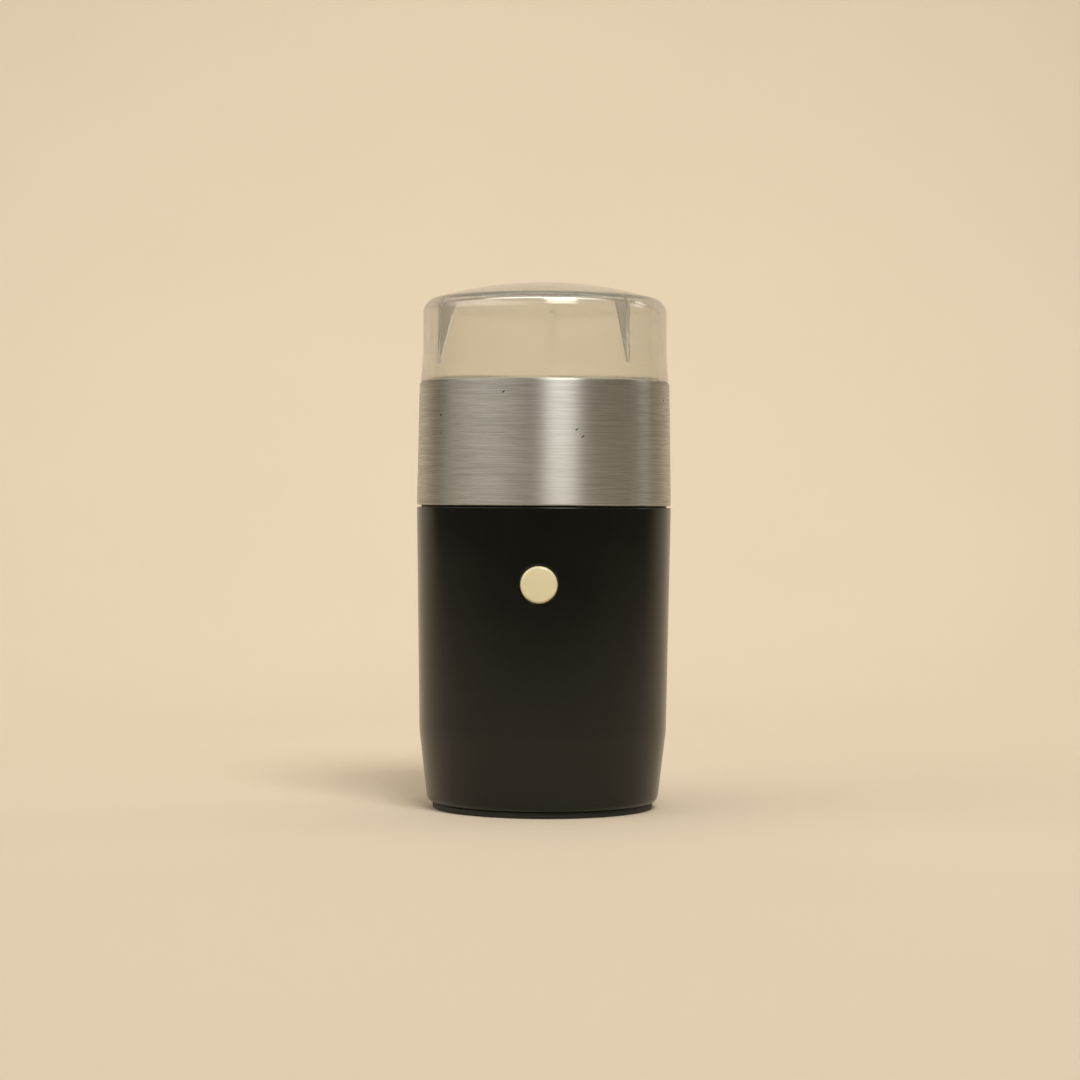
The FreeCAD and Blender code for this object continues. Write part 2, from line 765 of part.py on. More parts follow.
def make_motor_carrier():
    """Moulded plate that closes the housing, carries the bowl above and the motor below."""
    body = new_body("motor_carrier")
    skirt_outer = housing_radius(ledge) - s.housing_wall - s.skirt_gap
    skirt_bottom = deck_top - s.skirt_depth
    turned(body, "plate", [
        (s.shaft_hole, deck_bottom),
        (skirt_outer - s.skirt_wall, deck_bottom),
        (skirt_outer - s.skirt_wall, skirt_bottom),
        (skirt_outer, skirt_bottom),
        (skirt_outer, ledge),
        (carrier_radius, ledge),
        (carrier_radius, deck_top),
        (s.boss_radius, deck_top),
        (s.boss_radius, boss_top),
        (s.seal_radius, boss_top),
        (s.seal_radius, deck_top + s.seal_seat),
        (s.shaft_hole, deck_top + s.seal_seat),
    ])
    sketch = new_sketch(body, "mount_pad_outline", "XY_Plane", pad_bottom)
    circles(sketch, motor_corners, s.mount_radius)
    extruded(body, "mount_pads", sketch, s.mount_pad)
    sketch = new_sketch(body, "screw_boss_outline", "XY_Plane", column_top)
    circles(sketch, columns, s.column_radius)
    extruded(body, "screw_bosses", sketch, deck_bottom - column_top)
    sketch = new_sketch(body, "motor_hole_outline", "XY_Plane", pad_bottom)
    circles(sketch, motor_corners, s.motor_screw_radius + s.pilot_clearance)
    extruded(body, "motor_holes", sketch, s.mount_pad + 2, reverse=True, cut=True)
    sketch = new_sketch(body, "screw_hole_outline", "XY_Plane", deck_top)
    circles(sketch, columns, s.carrier_screw_radius + s.screw_clearance)
    extruded(body, "screw_holes", sketch, deck_top - column_top + 1, cut=True)
    sketch = new_sketch(body, "counterbore_outline", "XY_Plane", deck_top)
    circles(sketch, columns, s.carrier_screw_head + 0.2)
    extruded(body, "counterbores", sketch, s.head_height + 0.3, cut=True)
    return body


def make_grinding_bowl():
    """Drawn steel bowl: its outer wall is the brushed band."""
    body = new_body("grinding_bowl")
    turned(body, "cup", [
        (s.boss_radius + s.boss_gap, deck_top),
        (s.widest_radius, deck_top),
        (bowl_rim_radius, rim_height),
        (bowl_rim_radius - s.bowl_wall, rim_height),
        (bowl_radius(bowl_floor) - s.bowl_wall, bowl_floor),
        (s.boss_radius + s.boss_gap, bowl_floor),
    ])
    rounded(body, "rim_round", s.bowl_rim_edge, ring_edges(body, bowl_rim_radius, rim_height))
    rounded(body, "base_round", s.bowl_base_edge, ring_edges(body, s.widest_radius, deck_top))
    inside = bowl_radius(bowl_floor) - s.bowl_wall
    rounded(body, "floor_round", s.bowl_floor_corner, ring_edges(body, inside, bowl_floor))
    return body


def make_bowl_gasket():
    body = new_body("bowl_gasket")
    turned(body, "ring", [
        (s.boss_radius + s.boss_gap, bowl_floor),
        (s.gasket_radius, bowl_floor),
        (s.gasket_radius, nut_bottom),
        (s.boss_radius + s.boss_gap, nut_bottom),
    ])
    return body


def make_bowl_nut():
    """Ring nut with four spanner notches on the carrier's boss."""
    body = new_body("bowl_nut")
    top = nut_bottom + s.nut_height
    turned(body, "ring", [
        (s.boss_radius + s.boss_gap / 2, nut_bottom),
        (s.nut_radius, nut_bottom),
        (s.nut_radius, top - 0.8),
        (s.nut_radius - 0.8, top),
        (s.boss_radius + s.boss_gap / 2, top),
    ])
    sketch = new_sketch(body, "notch_outline", "XY_Plane", top)
    rectangle(sketch, s.nut_radius - 2, -s.nut_notch / 2, s.nut_radius + 1, s.nut_notch / 2)
    notch = extruded(body, "notch", sketch, s.nut_height / 2, cut=True)
    patterned(body, "notches", [notch], as_size(4))
    return body


def make_shaft_seal():
    """Rubber seal pressed into the carrier's boss, with a lip that stands off the shaft."""
    body = new_body("shaft_seal")
    lip = s.shaft_radius + 0.06
    bottom = deck_top + s.seal_seat
    turned(body, "ring", [
        (lip, bottom),
        (s.seal_radius - 0.03, bottom),
        (s.seal_radius - 0.03, boss_top),
        (s.seal_radius - 1.2, boss_top),
        (lip + 0.6, boss_top - 2.4),
        (lip, boss_top - 2.4),
    ])
    return body


def make_lid():
    """Clear cap with a shallow dome, a spigot that drops into the bowl and three baffles."""
    body = new_body("lid")
    flare_top = rim_height + s.lid_flare_height
    flare = lid_base_radius - lid_radius
    flare_radius = (flare * flare + s.lid_flare_height * s.lid_flare_height) / (flare * 2)
    sphere = overall_height - s.dome_radius
    inner_sphere = s.dome_radius - s.lid_top_wall
    corner_x = lid_radius - s.lid_corner
    corner_reach = s.dome_radius - s.lid_corner
    corner_z = sphere + root(corner_reach * corner_reach - corner_x * corner_x)
    share = s.dome_radius / corner_reach
    inside = lid_radius - s.lid_wall
    inner_x = inside - s.lid_inner_corner
    inner_reach = inner_sphere - s.lid_inner_corner
    inner_z = sphere + root(inner_reach * inner_reach - inner_x * inner_x)
    inner_share = inner_sphere / inner_reach
    spigot_bottom = rim_height - s.spigot_depth
    spigot_outer = bowl_rim_radius - s.bowl_wall - s.spigot_gap
    spigot_inner = spigot_outer - s.spigot_wall
    turned(body, "cap", [
        (spigot_inner, spigot_bottom),
        (spigot_outer, spigot_bottom),
        (spigot_outer, rim_height),
        (lid_base_radius, rim_height),
        (lid_radius, flare_top, flare_radius, -1),
        (lid_radius, corner_z),
        (corner_x * share, sphere + (corner_z - sphere) * share, s.lid_corner, 1),
        (0, overall_height, s.dome_radius, 1),
        (0, overall_height - s.lid_top_wall),
        (inner_x * inner_share, sphere + (inner_z - sphere) * inner_share, inner_sphere, -1),
        (inside, inner_z, s.lid_inner_corner, -1),
        (inside, flare_top),
        (spigot_inner, rim_height),
    ])
    rounded(body, "base_round", as_size(0.25), ring_edges(body, lid_base_radius, rim_height))
    # the baffles taper downwards and are rooted in the middle of the wall
    diagonal = cosine(as_size(45))
    buried = lid_radius - s.lid_wall / 2
    tip = inside - s.baffle_depth
    crown = s.dome_radius - s.lid_top_wall / 2
    reach = s.lid_corner - s.lid_wall / 2
    sketch = new_sketch(body, "baffle_outline", "XZ_Plane", None, s.baffle_angle)
    outline(sketch, [
        (inside, baffle_foot),
        (buried, baffle_foot),
        (buried, corner_z),
        (corner_x + reach * diagonal, corner_z + reach * diagonal),
        (tip, sphere + root(crown * crown - tip * tip)),
    ])
    baffle = extruded(body, "baffle", sketch, s.baffle_thickness, middle=True)
    patterned(body, "baffles", [baffle], s.baffle_count)
    return body


# Button and switch, drawn along the button's axis: local Z points out of the housing

def on_button_axis(item):
    place(item, z=button_height, axis=(1, 0, 0), angle=90)


def make_button():
    """Round push button: cap, collar that stops it in the housing, stem with a round tip."""
    body = new_body("button")
    face = housing_radius(button_height) + s.button_proud
    back = collar_face - s.collar_thickness
    turned(body, "button_form", [
        (0, stem_tip),
        (s.stem_radius, stem_tip + s.stem_radius, s.stem_radius, 1),
        (s.stem_radius, back),
        (s.collar_radius, back),
        (s.collar_radius, collar_face),
        (s.button_radius, collar_face),
        (s.button_radius, face),
        (0, face),
    ])
    rounded(body, "face_round", s.button_edge, ring_edges(body, s.button_radius, face))
    on_button_axis(body)
    return body


def wound(label, radius, wire, turns, start, end):
    """A spring of round wire wound about Z, from start to end."""
    body = new_body(label)
    sketch = new_sketch(body, f"{label}_wire", "XZ_Plane")
    circles(sketch, [(radius, start + wire / 2)], wire / 2)
    helix = body.newObject("PartDesign::AdditiveHelix", f"{label}_helix")
    helix.Profile = sketch
    helix.ReferenceAxis = (sketch, ["V_Axis"])
    helix.Mode = 2
    helix.Height = end.value - start.value - wire.value
    helix.Turns = turns.value
    helix.setExpression("Height", (end - start - wire).text)
    helix.setExpression("Turns", turns.text)
    finish_feature(body, helix, sketch, 1)
    return body


def make_button_spring():
    clear = as_size(0.15)
    body = wound("button_spring", s.spring_radius, s.spring_wire, s.spring_turns,
                 guide_wall_front + clear, collar_face - s.collar_thickness - clear)
    on_button_axis(body)
    return body


def make_switch_body():
    """Snap switch between the tower's inner ribs, with two ears for the lever's pin."""
    body = new_body("switch_body")
    half = s.switch_thickness / 2
    pivot_y = -switch_face - s.pivot_offset
    pivot_z = switch_base + s.pivot_rise
    sketch = new_sketch(body, "case_outline", "XY_Plane", switch_base)
    rectangle(sketch, -half, -switch_face, half, -switch_face + s.switch_depth)
    extruded(body, "case", sketch, s.switch_length)
    for side in (-1, 1):
        name = "left" if side < 0 else "right"
        sketch = new_sketch(body, f"{name}_ear_outline", "YZ_Plane", (half - s.ear_thickness) * side)
        outline(sketch, [
            (-switch_face + 0.5, pivot_z - s.ear_radius),
            (-switch_face + 0.5, pivot_z + s.ear_radius),
            (pivot_y, pivot_z + s.ear_radius),
            (pivot_y, pivot_z - s.ear_radius, s.ear_radius, 1),
        ])
        extruded(body, f"{name}_ear", sketch, s.ear_thickness, reverse=side < 0)
    sketch = new_sketch(body, "pin_hole_outline", "YZ_Plane", -half - 1)
    circles(sketch, [(pivot_y, pivot_z)], s.pin_radius + 0.05)
    extruded(body, "pin_hole", sketch, s.switch_thickness + 2, reverse=True, cut=True)
    return body


def make_switch_lever():
    """Flat lever on a pin. It leans against the button's stem and turns towards the switch."""
    body = new_body("switch_lever")
    half = s.lever_width / 2
    thick = s.lever_thickness / 2
    sketch = new_sketch(body, "eye_outline", "YZ_Plane")
    circles(sketch, [(0, 0)], s.eye_radius)
    extruded(body, "eye", sketch, s.lever_width, middle=True)
    sketch = new_sketch(body, "pin_outline", "YZ_Plane")
    circles(sketch, [(0, 0)], s.pin_radius)
    extruded(body, "pin", sketch, s.switch_thickness - 0.2, middle=True)
    sketch = new_sketch(body, "strip_outline", "YZ_Plane")
    rectangle(sketch, -thick, 0, thick, s.lever_length)
    extruded(body, "strip", sketch, half * 2, middle=True)
    place(body, y=-switch_face - s.pivot_offset, z=switch_base + s.pivot_rise, axis=(1, 0, 0), angle=0)
    body.setExpression("Placement.Rotation.Angle", s.lever_angle.text)
    return body


def make_switch_terminals():
    """Two brass tabs on top of the switch."""
    top = switch_base + s.switch_length
    tabs = []
    for number, depth in enumerate((1.6, 4.6)):
        body = new_body(f"switch_tab_{number}")
        sketch = new_sketch(body, f"tab_outline_{number}", "XY_Plane", top)
        middle = -switch_face + depth
        rectangle(sketch, -s.tab_width / 2, middle - s.tab_thickness / 2,
                  s.tab_width / 2, middle + s.tab_thickness / 2)
        extruded(body, f"tab_{number}", sketch, s.tab_length)
        tabs.append(body)
    return grouped("switch_terminals", tabs)


# Motor

def make_stator_core():
    """Field core: a frame with two poles and their shoes round the rotor."""
    body = new_body("stator_core")
    sketch = new_sketch(body, "frame_outline", "XY_Plane", core_bottom)
    rounded_rectangle(sketch, s.core_width / 2, core_half_breadth, s.core_corner)
    extruded(body, "frame", sketch, core_height)
    sketch = new_sketch(body, "window_outline", "XY_Plane", core_top)
    rectangle(sketch, -window_half_width, -window_half_breadth, window_half_width, window_half_breadth)
    extruded(body, "window", sketch, core_height + 1, cut=True)
    shoe = pole_shoe_radius
    neck_x = root(shoe * shoe - s.pole_half_width * s.pole_half_width)
    tip_x = shoe * cosine(s.pole_shoe_angle)
    tip_y = shoe * sine(s.pole_shoe_angle)
    inner = s.core_bore - 1
    base_x = inner * cosine(s.pole_shoe_angle)
    base_y = inner * sine(s.pole_shoe_angle)
    sketch = new_sketch(body, "pole_outline", "XY_Plane", core_bottom)
    outline(sketch, [
        (window_half_width + 0.5, -s.pole_half_width),
        (window_half_width + 0.5, s.pole_half_width),
        (neck_x, s.pole_half_width),
        (tip_x, tip_y, shoe, 1),
        (base_x, base_y),
        (base_x, -base_y),
        (tip_x, -tip_y),
        (neck_x, -s.pole_half_width, shoe, 1),
    ])
    pole = extruded(body, "pole", sketch, core_height)
    patterned(body, "poles", [pole], as_size(2))
    sketch = new_sketch(body, "bore_outline", "XY_Plane", core_top)
    circles(sketch, [(0, 0)], s.core_bore)
    extruded(body, "bore", sketch, core_height + 1, cut=True)
    sketch = new_sketch(body, "screw_hole_outline", "XY_Plane", core_top)
    circles(sketch, motor_corners, hole_radius)
    extruded(body, "screw_holes", sketch, core_height + 1, cut=True)
    return body


def make_field_coil(label, side):
    """Coil wound round one pole, with round ends above and below the core."""
    body = new_body(label)
    outer_half = core_height / 2 + s.coil_overhang
    inner_half = core_height / 2 + s.coil_clearance
    inner_breadth = s.pole_half_width + s.coil_clearance
    sketch = new_sketch(body, f"{label}_outline", "YZ_Plane", coil_inner_x * side)
    rounded_rectangle(sketch, coil_half_breadth, outer_half, s.coil_corner)
    extruded(body, f"{label}_form", sketch, coil_outer_x - coil_inner_x, reverse=side < 0)
    sketch = new_sketch(body, f"{label}_eye_outline", "YZ_Plane", coil_inner_x * side)
    rectangle(sketch, -inner_breadth, -inner_half, inner_breadth, inner_half)
    extruded(body, f"{label}_eye", sketch, coil_outer_x, reverse=side > 0, cut=True)
    place(body, z=core_bottom + core_height / 2)
    return body


def make_upper_bracket():
    """Cast bridge over the field core with a hub for the upper bearing."""
    body = new_body("upper_bracket")
    sketch = new_sketch(body, "plate_outline", "XY_Plane", upper_plate_bottom)
    rounded_rectangle(sketch, s.core_width / 2, core_half_breadth, s.core_corner)
    extruded(body, "plate", sketch, s.plate_thickness)
    sketch = new_sketch(body, "leg_outline", "XY_Plane", core_top)
    circles(sketch, motor_corners, s.leg_radius)
    extruded(body, "legs", sketch, upper_plate_bottom - core_top)
    sketch = new_sketch(body, "hub_outline", "XY_Plane", upper_hub_bottom)
    circles(sketch, [(0, 0)], s.hub_radius)
    extruded(body, "hub", sketch, s.upper_bearing_height)
    sketch = new_sketch(body, "air_outline", "XY_Plane", upper_plate_top)
    for side in (-1, 1):
        middle = (s.hub_radius + core_half_breadth) / 2 * side
        rectangle(sketch, -s.core_width / 4, middle - 2.6, s.core_width / 4, middle + 2.6)
        middle = (s.hub_radius + s.core_width / 2) / 2 * side
        rectangle(sketch, middle - 4.5, -core_half_breadth / 2, middle + 4.5, core_half_breadth / 2)
    extruded(body, "air_windows", sketch, s.plate_thickness + 1, cut=True)
    sketch = new_sketch(body, "bearing_seat_outline", "XY_Plane", upper_plate_top)
    circles(sketch, [(0, 0)], s.bearing_radius)
    extruded(body, "bearing_seat", sketch, s.upper_bearing_height + 1, cut=True)
    sketch = new_sketch(body, "screw_hole_outline", "XY_Plane", upper_plate_top)
    circles(sketch, motor_corners, hole_radius)
    extruded(body, "screw_holes", sketch, upper_plate_top - core_top + 1, cut=True)
    return body


def make_lower_bracket():
    """Moulded bridge under the field core: legs, bearing hub and two brush boxes."""
    body = new_body("lower_bracket")
    sketch = new_sketch(body, "plate_outline", "XY_Plane", lower_plate_bottom)
    rounded_rectangle(sketch, s.core_width / 2, core_half_breadth, s.core_corner)
    extruded(body, "plate", sketch, s.lower_plate_thickness)
    sketch = new_sketch(body, "leg_outline", "XY_Plane", lower_plate_top)
    circles(sketch, motor_corners, s.leg_radius)
    extruded(body, "legs", sketch, core_bottom - lower_plate_top)
    sketch = new_sketch(body, "hub_outline", "XY_Plane", lower_hub_bottom)
    circles(sketch, [(0, 0)], s.hub_radius)
    extruded(body, "hub", sketch, lower_plate_top - lower_hub_bottom)
    sketch = new_sketch(body, "box_outline", "XY_Plane", lower_plate_top)
    half = s.brush_width / 2 + s.brush_slack + s.box_wall
    rectangle(sketch, box_inner, -half, box_outer, half)
    rectangle(sketch, -box_outer, -half, -box_inner, half)
    box_top = brush_bottom + s.brush_height + s.brush_slack + s.box_wall
    extruded(body, "brush_boxes", sketch, box_top - lower_plate_top)
    sketch = new_sketch(body, "brush_way_outline", "YZ_Plane", -box_outer - 1)
    width = s.brush_width / 2 + s.brush_slack
    rectangle(sketch, -width, brush_bottom - s.brush_slack,
              width, brush_bottom + s.brush_height + s.brush_slack)
    extruded(body, "brush_way", sketch, box_outer * 2 + 2, reverse=True, cut=True)
    sketch = new_sketch(body, "air_outline", "XY_Plane", lower_plate_top)
    for side in (-1, 1):
        middle = (s.hub_radius + core_half_breadth) / 2 * side
        rectangle(sketch, -s.core_width / 4, middle - 2.6, s.core_width / 4, middle + 2.6)
    extruded(body, "air_windows", sketch, s.lower_plate_thickness + 1, cut=True)
    sketch = new_sketch(body, "bearing_seat_outline", "XY_Plane", lower_plate_top)
    circles(sketch, [(0, 0)], s.bearing_radius)
    extruded(body, "bearing_seat", sketch, s.lower_bearing_height, cut=True)
    sketch = new_sketch(body, "shaft_hole_outline", "XY_Plane", lower_plate_top)
    circles(sketch, [(0, 0)], s.shaft_hole)
    extruded(body, "shaft_hole", sketch, lower_plate_top - lower_hub_bottom + 1, cut=True)
    sketch = new_sketch(body, "screw_hole_outline", "XY_Plane", core_bottom)
    circles(sketch, motor_corners, hole_radius)
    extruded(body, "screw_holes", sketch, core_bottom - lower_plate_bottom + 1, cut=True)
    return body


def make_bearing(label, bottom, height):
    """Sintered bush with a domed outside that is chamfered at both ends."""
    body = new_body(label)
    edge = as_size(0.6)
    outer = s.bearing_radius - 0.02
    bore = s.shaft_radius + s.bearing_clearance
    turned(body, f"{label}_bush", [
        (bore, bottom),
        (outer - edge, bottom),
        (outer, bottom + edge),
        (outer, bottom + height - edge),
        (outer - edge, bottom + height),
        (bore, bottom + height),
    ])
    return body


def make_rubber_mounts():
    """Waisted rubber bushes between the motor and the carrier."""
    body = new_body("rubber_mount")
    waist = s.mount_radius - 0.8
    turned(body, "mount", [
        (hole_radius, 0),
        (s.mount_radius, 0),
        (s.mount_radius, s.mount_height / 4),
        (waist, s.mount_height / 2),
        (s.mount_radius, s.mount_height * 0.75),
        (s.mount_radius, s.mount_height),
        (hole_radius, s.mount_height),
    ])
    place(body, screw_x, screw_y, upper_plate_top)
    return four_corners("rubber_mounts", body)


def make_motor_screws():
    """Long screws up through brackets, field core and mounts into the carrier."""
    body = new_body("motor_screw")
    length = pad_bottom + s.mount_pad + 1.5 - lower_plate_bottom
    head = s.motor_screw_radius * 1.9
    turned(body, "screw", [
        (0, -s.head_height),
        (head - 0.5, -s.head_height),
        (head, -s.head_height + 0.5),
        (head, 0),
        (s.motor_screw_radius, 0),
        (s.motor_screw_radius, length),
        (0, length),
    ])
    place(body, screw_x, screw_y, lower_plate_bottom)
    return four_corners("motor_screws", body)


def make_carrier_screws():
    """Screws down through the carrier into the housing's columns, with a slot in each head."""
    body = new_body("carrier_screw")
    turned(body, "screw", [
        (0, -s.carrier_screw_length),
        (s.carrier_screw_radius - 0.6, -s.carrier_screw_length),
        (s.carrier_screw_radius, -s.carrier_screw_length + 2),
        (s.carrier_screw_radius, -s.head_height),
        (s.carrier_screw_head, -s.head_height),
        (s.carrier_screw_head, -0.5),
        (s.carrier_screw_head - 0.5, 0),
        (0, 0),
    ])
    sketch = new_sketch(body, "slot_outline", "XY_Plane", as_size(0))
    rectangle(sketch, -s.carrier_screw_head, -0.4, s.carrier_screw_head, 0.4)
    extruded(body, "slot", sketch, s.head_height / 2, cut=True)
    place(body, column_x, column_y, deck_top - 0.3)
    return four_corners("carrier_screws", body)


def make_carbon_brushes():
    """Brush with its end worn to the commutator, and its twin opposite."""
    body = new_body("carbon_brush")
    start = s.commutator_radius + s.brush_slack
    sketch = new_sketch(body, "brush_outline", "XY_Plane", brush_bottom)
    half = s.brush_width / 2
    rectangle(sketch, s.commutator_radius - 1.5, -half, start + s.brush_length, half)
    extruded(body, "brush", sketch, s.brush_height)
    sketch = new_sketch(body, "worn_end_outline", "XY_Plane", brush_bottom + s.brush_height)
    circles(sketch, [(0, 0)], start)
    extruded(body, "worn_end", sketch, s.brush_height + 1, cut=True)
    return grouped("carbon_brushes", [body, mirrored(body, (1, 0, 0))])


def make_brush_springs():
    clear = as_size(0.1)
    start = spring_start + clear
    spring = wound("brush_spring", s.brush_spring_radius, s.brush_spring_wire, s.brush_spring_turns,
                   start, box_outer - s.cap_plug - clear)
    place(spring, z=brush_bottom + s.brush_height / 2, axis=(0, 1, 0), angle=90)
    return grouped("brush_springs", [spring, mirrored(spring, (1, 0, 0))])


def make_brush_caps():
    """Brass caps that close the brush boxes."""
    body = new_body("brush_cap")
    sketch = new_sketch(body, "plug_outline", "YZ_Plane", box_outer - s.cap_plug)
    middle = brush_bottom + s.brush_height / 2
    rectangle(sketch, -s.brush_width / 2, brush_bottom, s.brush_width / 2, brush_bottom + s.brush_height)
    extruded(body, "plug", sketch, s.cap_plug)
    sketch = new_sketch(body, "flange_outline", "YZ_Plane", box_outer)
    half_height = s.brush_height / 2 + s.box_wall
    half_width = s.brush_width / 2 + s.box_wall
    rectangle(sketch, -half_width, middle - half_height, half_width, middle + half_height)
    extruded(body, "flange", sketch, s.cap_flange)
    return grouped("brush_caps", [body, mirrored(body, (1, 0, 0))])


# Everything that turns

def make_motor_shaft():
    body = new_body("motor_shaft")
    turned(body, "shaft", [
        (0, shaft_bottom),
        (s.fan_seat_radius - 0.4, shaft_bottom),
        (s.fan_seat_radius, shaft_bottom + 0.4),
        (s.fan_seat_radius, fan_top),
        (s.shaft_radius, fan_top),
        (s.shaft_radius, shaft_shoulder),
        (s.thread_radius, shaft_shoulder),
        (s.thread_radius, shaft_top - 0.4),
        (s.thread_radius - 0.4, shaft_top),
        (0, shaft_top),
    ])
    return body


def make_rotor_core():
    """Slotted armature core."""
    body = new_body("rotor_core")
    radius = rotor_radius
    sketch = new_sketch(body, "disc_outline", "XY_Plane", core_bottom)
    circles(sketch, [(0, 0)], radius)
    extruded(body, "disc", sketch, core_height)
    sketch = new_sketch(body, "shaft_hole_outline", "XY_Plane", core_top)
    circles(sketch, [(0, 0)], s.shaft_radius)
    extruded(body, "shaft_hole", sketch, core_height + 1, cut=True)
    sketch = new_sketch(body, "slot_outline", "XY_Plane", core_top)
    half = s.slot_width / 2
    mouth = s.slot_mouth / 2
    outline(sketch, [
        (slot_root, -half),
        (slot_shoulder, -half),
        (slot_shoulder, -mouth),
        (radius + 1, -mouth),
        (radius + 1, mouth),
        (slot_shoulder, mouth),
        (slot_shoulder, half),
        (slot_root, half),
    ])
    slot = extruded(body, "slot", sketch, core_height + 1, cut=True)
    patterned(body, "slots", [slot], s.slot_count)
    return body


def winding_head(body, name, near, far):
    """Round-shouldered end turns between the core's face and their far end."""
    up = 1 if far.value > near.value else -1
    corner = s.winding_corner
    turned(body, name, [
        (s.winding_core, near),
        (winding_radius, near),
        (winding_radius, far - corner * up),
        (winding_radius - corner, far, corner, up),
        (s.winding_core, far),
    ])


def make_rotor_winding():
    """Armature winding: end turns above and below, and the bars in the slots."""
    body = new_body("rotor_winding")
    gap = s.winding_clearance
    winding_head(body, "lower_head", core_bottom - gap, core_bottom - s.winding_overhang)
    sketch = new_sketch(body, "bar_outline", "XY_Plane", core_bottom - 1)
    half = s.slot_width / 2 - gap
    rectangle(sketch, slot_root + gap, -half, slot_shoulder - gap, half)
    bar = extruded(body, "bar", sketch, core_height + 2)
    patterned(body, "bars", [bar], s.slot_count)
    winding_head(body, "upper_head", core_top + gap, core_top + s.winding_overhang)
    return body


def make_commutator():
    """Copper bars with a riser at the top and a cut between each two."""
    body = new_body("commutator")
    top = commutator_bottom + s.commutator_height
    turned(body, "drum", [
        (s.shaft_radius, commutator_bottom),
        (s.commutator_radius - 0.4, commutator_bottom),
        (s.commutator_radius, commutator_bottom + 0.4),
        (s.commutator_radius, top - s.riser_height),
        (riser_radius, top - s.riser_height),
        (riser_radius, top),
        (s.shaft_radius, top),
    ])
    sketch = new_sketch(body, "cut_outline", "XY_Plane", top)
    half = s.bar_gap / 2
    rectangle(sketch, s.commutator_radius - s.bar_gap_depth, -half, riser_radius + 1, half)
    gap = extruded(body, "bar_cut", sketch, s.commutator_height + 1, cut=True)
    patterned(body, "bar_cuts", [gap], s.slot_count)
    return body


def make_thrust_washers():
    """Fibre washers between rotor and bearings."""
    washers = []
    lower = lower_plate_top + s.washer_gap
    upper = upper_hub_bottom - s.washer_gap - s.washer_thickness
    for name, bottom in (("lower_washer", lower), ("upper_washer", upper)):
        body = new_body(name)
        turned(body, f"{name}_ring", [
            (s.shaft_radius, bottom),
            (s.washer_radius, bottom),
            (s.washer_radius, bottom + s.washer_thickness),
            (s.shaft_radius, bottom + s.washer_thickness),
        ])
        washers.append(body)
    return grouped("thrust_washers", washers)


def make_cooling_fan():
    """Fan: hub and disc with straight blades under the disc."""
    body = new_body("cooling_fan")
    bottom = fan_top - s.fan_plate - s.fan_height
    turned(body, "hub", [
        (s.fan_seat_radius, bottom),
        (s.fan_hub_radius, bottom),
        (s.fan_hub_radius, fan_top - s.fan_plate),
        (fan_radius, fan_top - s.fan_plate),
        (fan_radius, fan_top),
        (s.fan_seat_radius, fan_top),
    ])
    sketch = new_sketch(body, "fan_blade_outline", "XZ_Plane")
    outline(sketch, [
        (s.fan_hub_radius - 1, bottom + 1),
        (fan_radius * 0.55, bottom + 1),
        (fan_radius - 0.5, fan_top - s.fan_plate - s.fan_height / 2),
        (fan_radius - 0.5, fan_top - s.fan_plate / 2),
        (s.fan_hub_radius - 1, fan_top - s.fan_plate / 2),
    ])
    blade = extruded(body, "fan_blade", sketch, s.fan_blade_thickness, middle=True)
    patterned(body, "fan_blades", [blade], s.fan_blade_count)
    return body


def blade_section(body, name, lead, offset, width, lift, twist):
    """Section of a wing: a strip with its leading edge ground to a wedge, lifted and twisted."""
    sketch = new_sketch(body, name, "YZ_Plane", offset)
    along, up = cosine(twist), sine(twist)
    thick = s.blade_thickness
    corners = []
    for across, rise in ((-width / 2, as_size(0)), (width / 2 - s.blade_edge, as_size(0)),
                         (width / 2, thick * 0.9), (width / 2, thick), (-width / 2, thick)):
        corners.append((lead * (across * along - rise * up), lift + across * up + rise * along))
    outline(sketch, corners)
    return sketch


def make_blade():
    """Two-winged blade: one wing rises and one drops, both twisted and ground on one edge."""
    body = new_body("blade")
    sketch = new_sketch(body, "hub_outline", "XY_Plane", as_size(0))
    circles(sketch, [(0, 0)], s.blade_hub_radius)
    extruded(body, "hub", sketch, s.blade_thickness)
    flat = as_size(0)
    for name, side in (("rising", 1), ("dropping", -1)):
        root_at = (s.blade_hub_radius - 2.5) * side
        bend_at = (s.blade_hub_radius + 2.5) * side
        tip_at = s.blade_reach * side
        lead = as_size(side)
        stations = [
            (root_at, s.blade_root_width, as_size(0), flat),
            (bend_at, s.blade_root_width, as_size(0), flat),
            (tip_at, s.blade_tip_width, s.blade_lift * lead, s.blade_twist),
        ]
        sections = [blade_section(body, f"{name}_section_{number}", lead, *station)
                    for number, station in enumerate(stations)]
        loft = body.newObject("PartDesign::AdditiveLoft", f"{name}_wing")
        loft.Profile = sections[0]
        loft.Sections = sections[1:]
        loft.Ruled = True
        finish_feature(body, loft, None, 1)
    sketch = new_sketch(body, "hub_hole_outline", "XY_Plane", s.blade_thickness)
    circles(sketch, [(0, 0)], s.thread_radius + 0.05)
    extruded(body, "hub_hole", sketch, s.blade_thickness + 1, cut=True)
    place(body, z=blade_height)
    return body


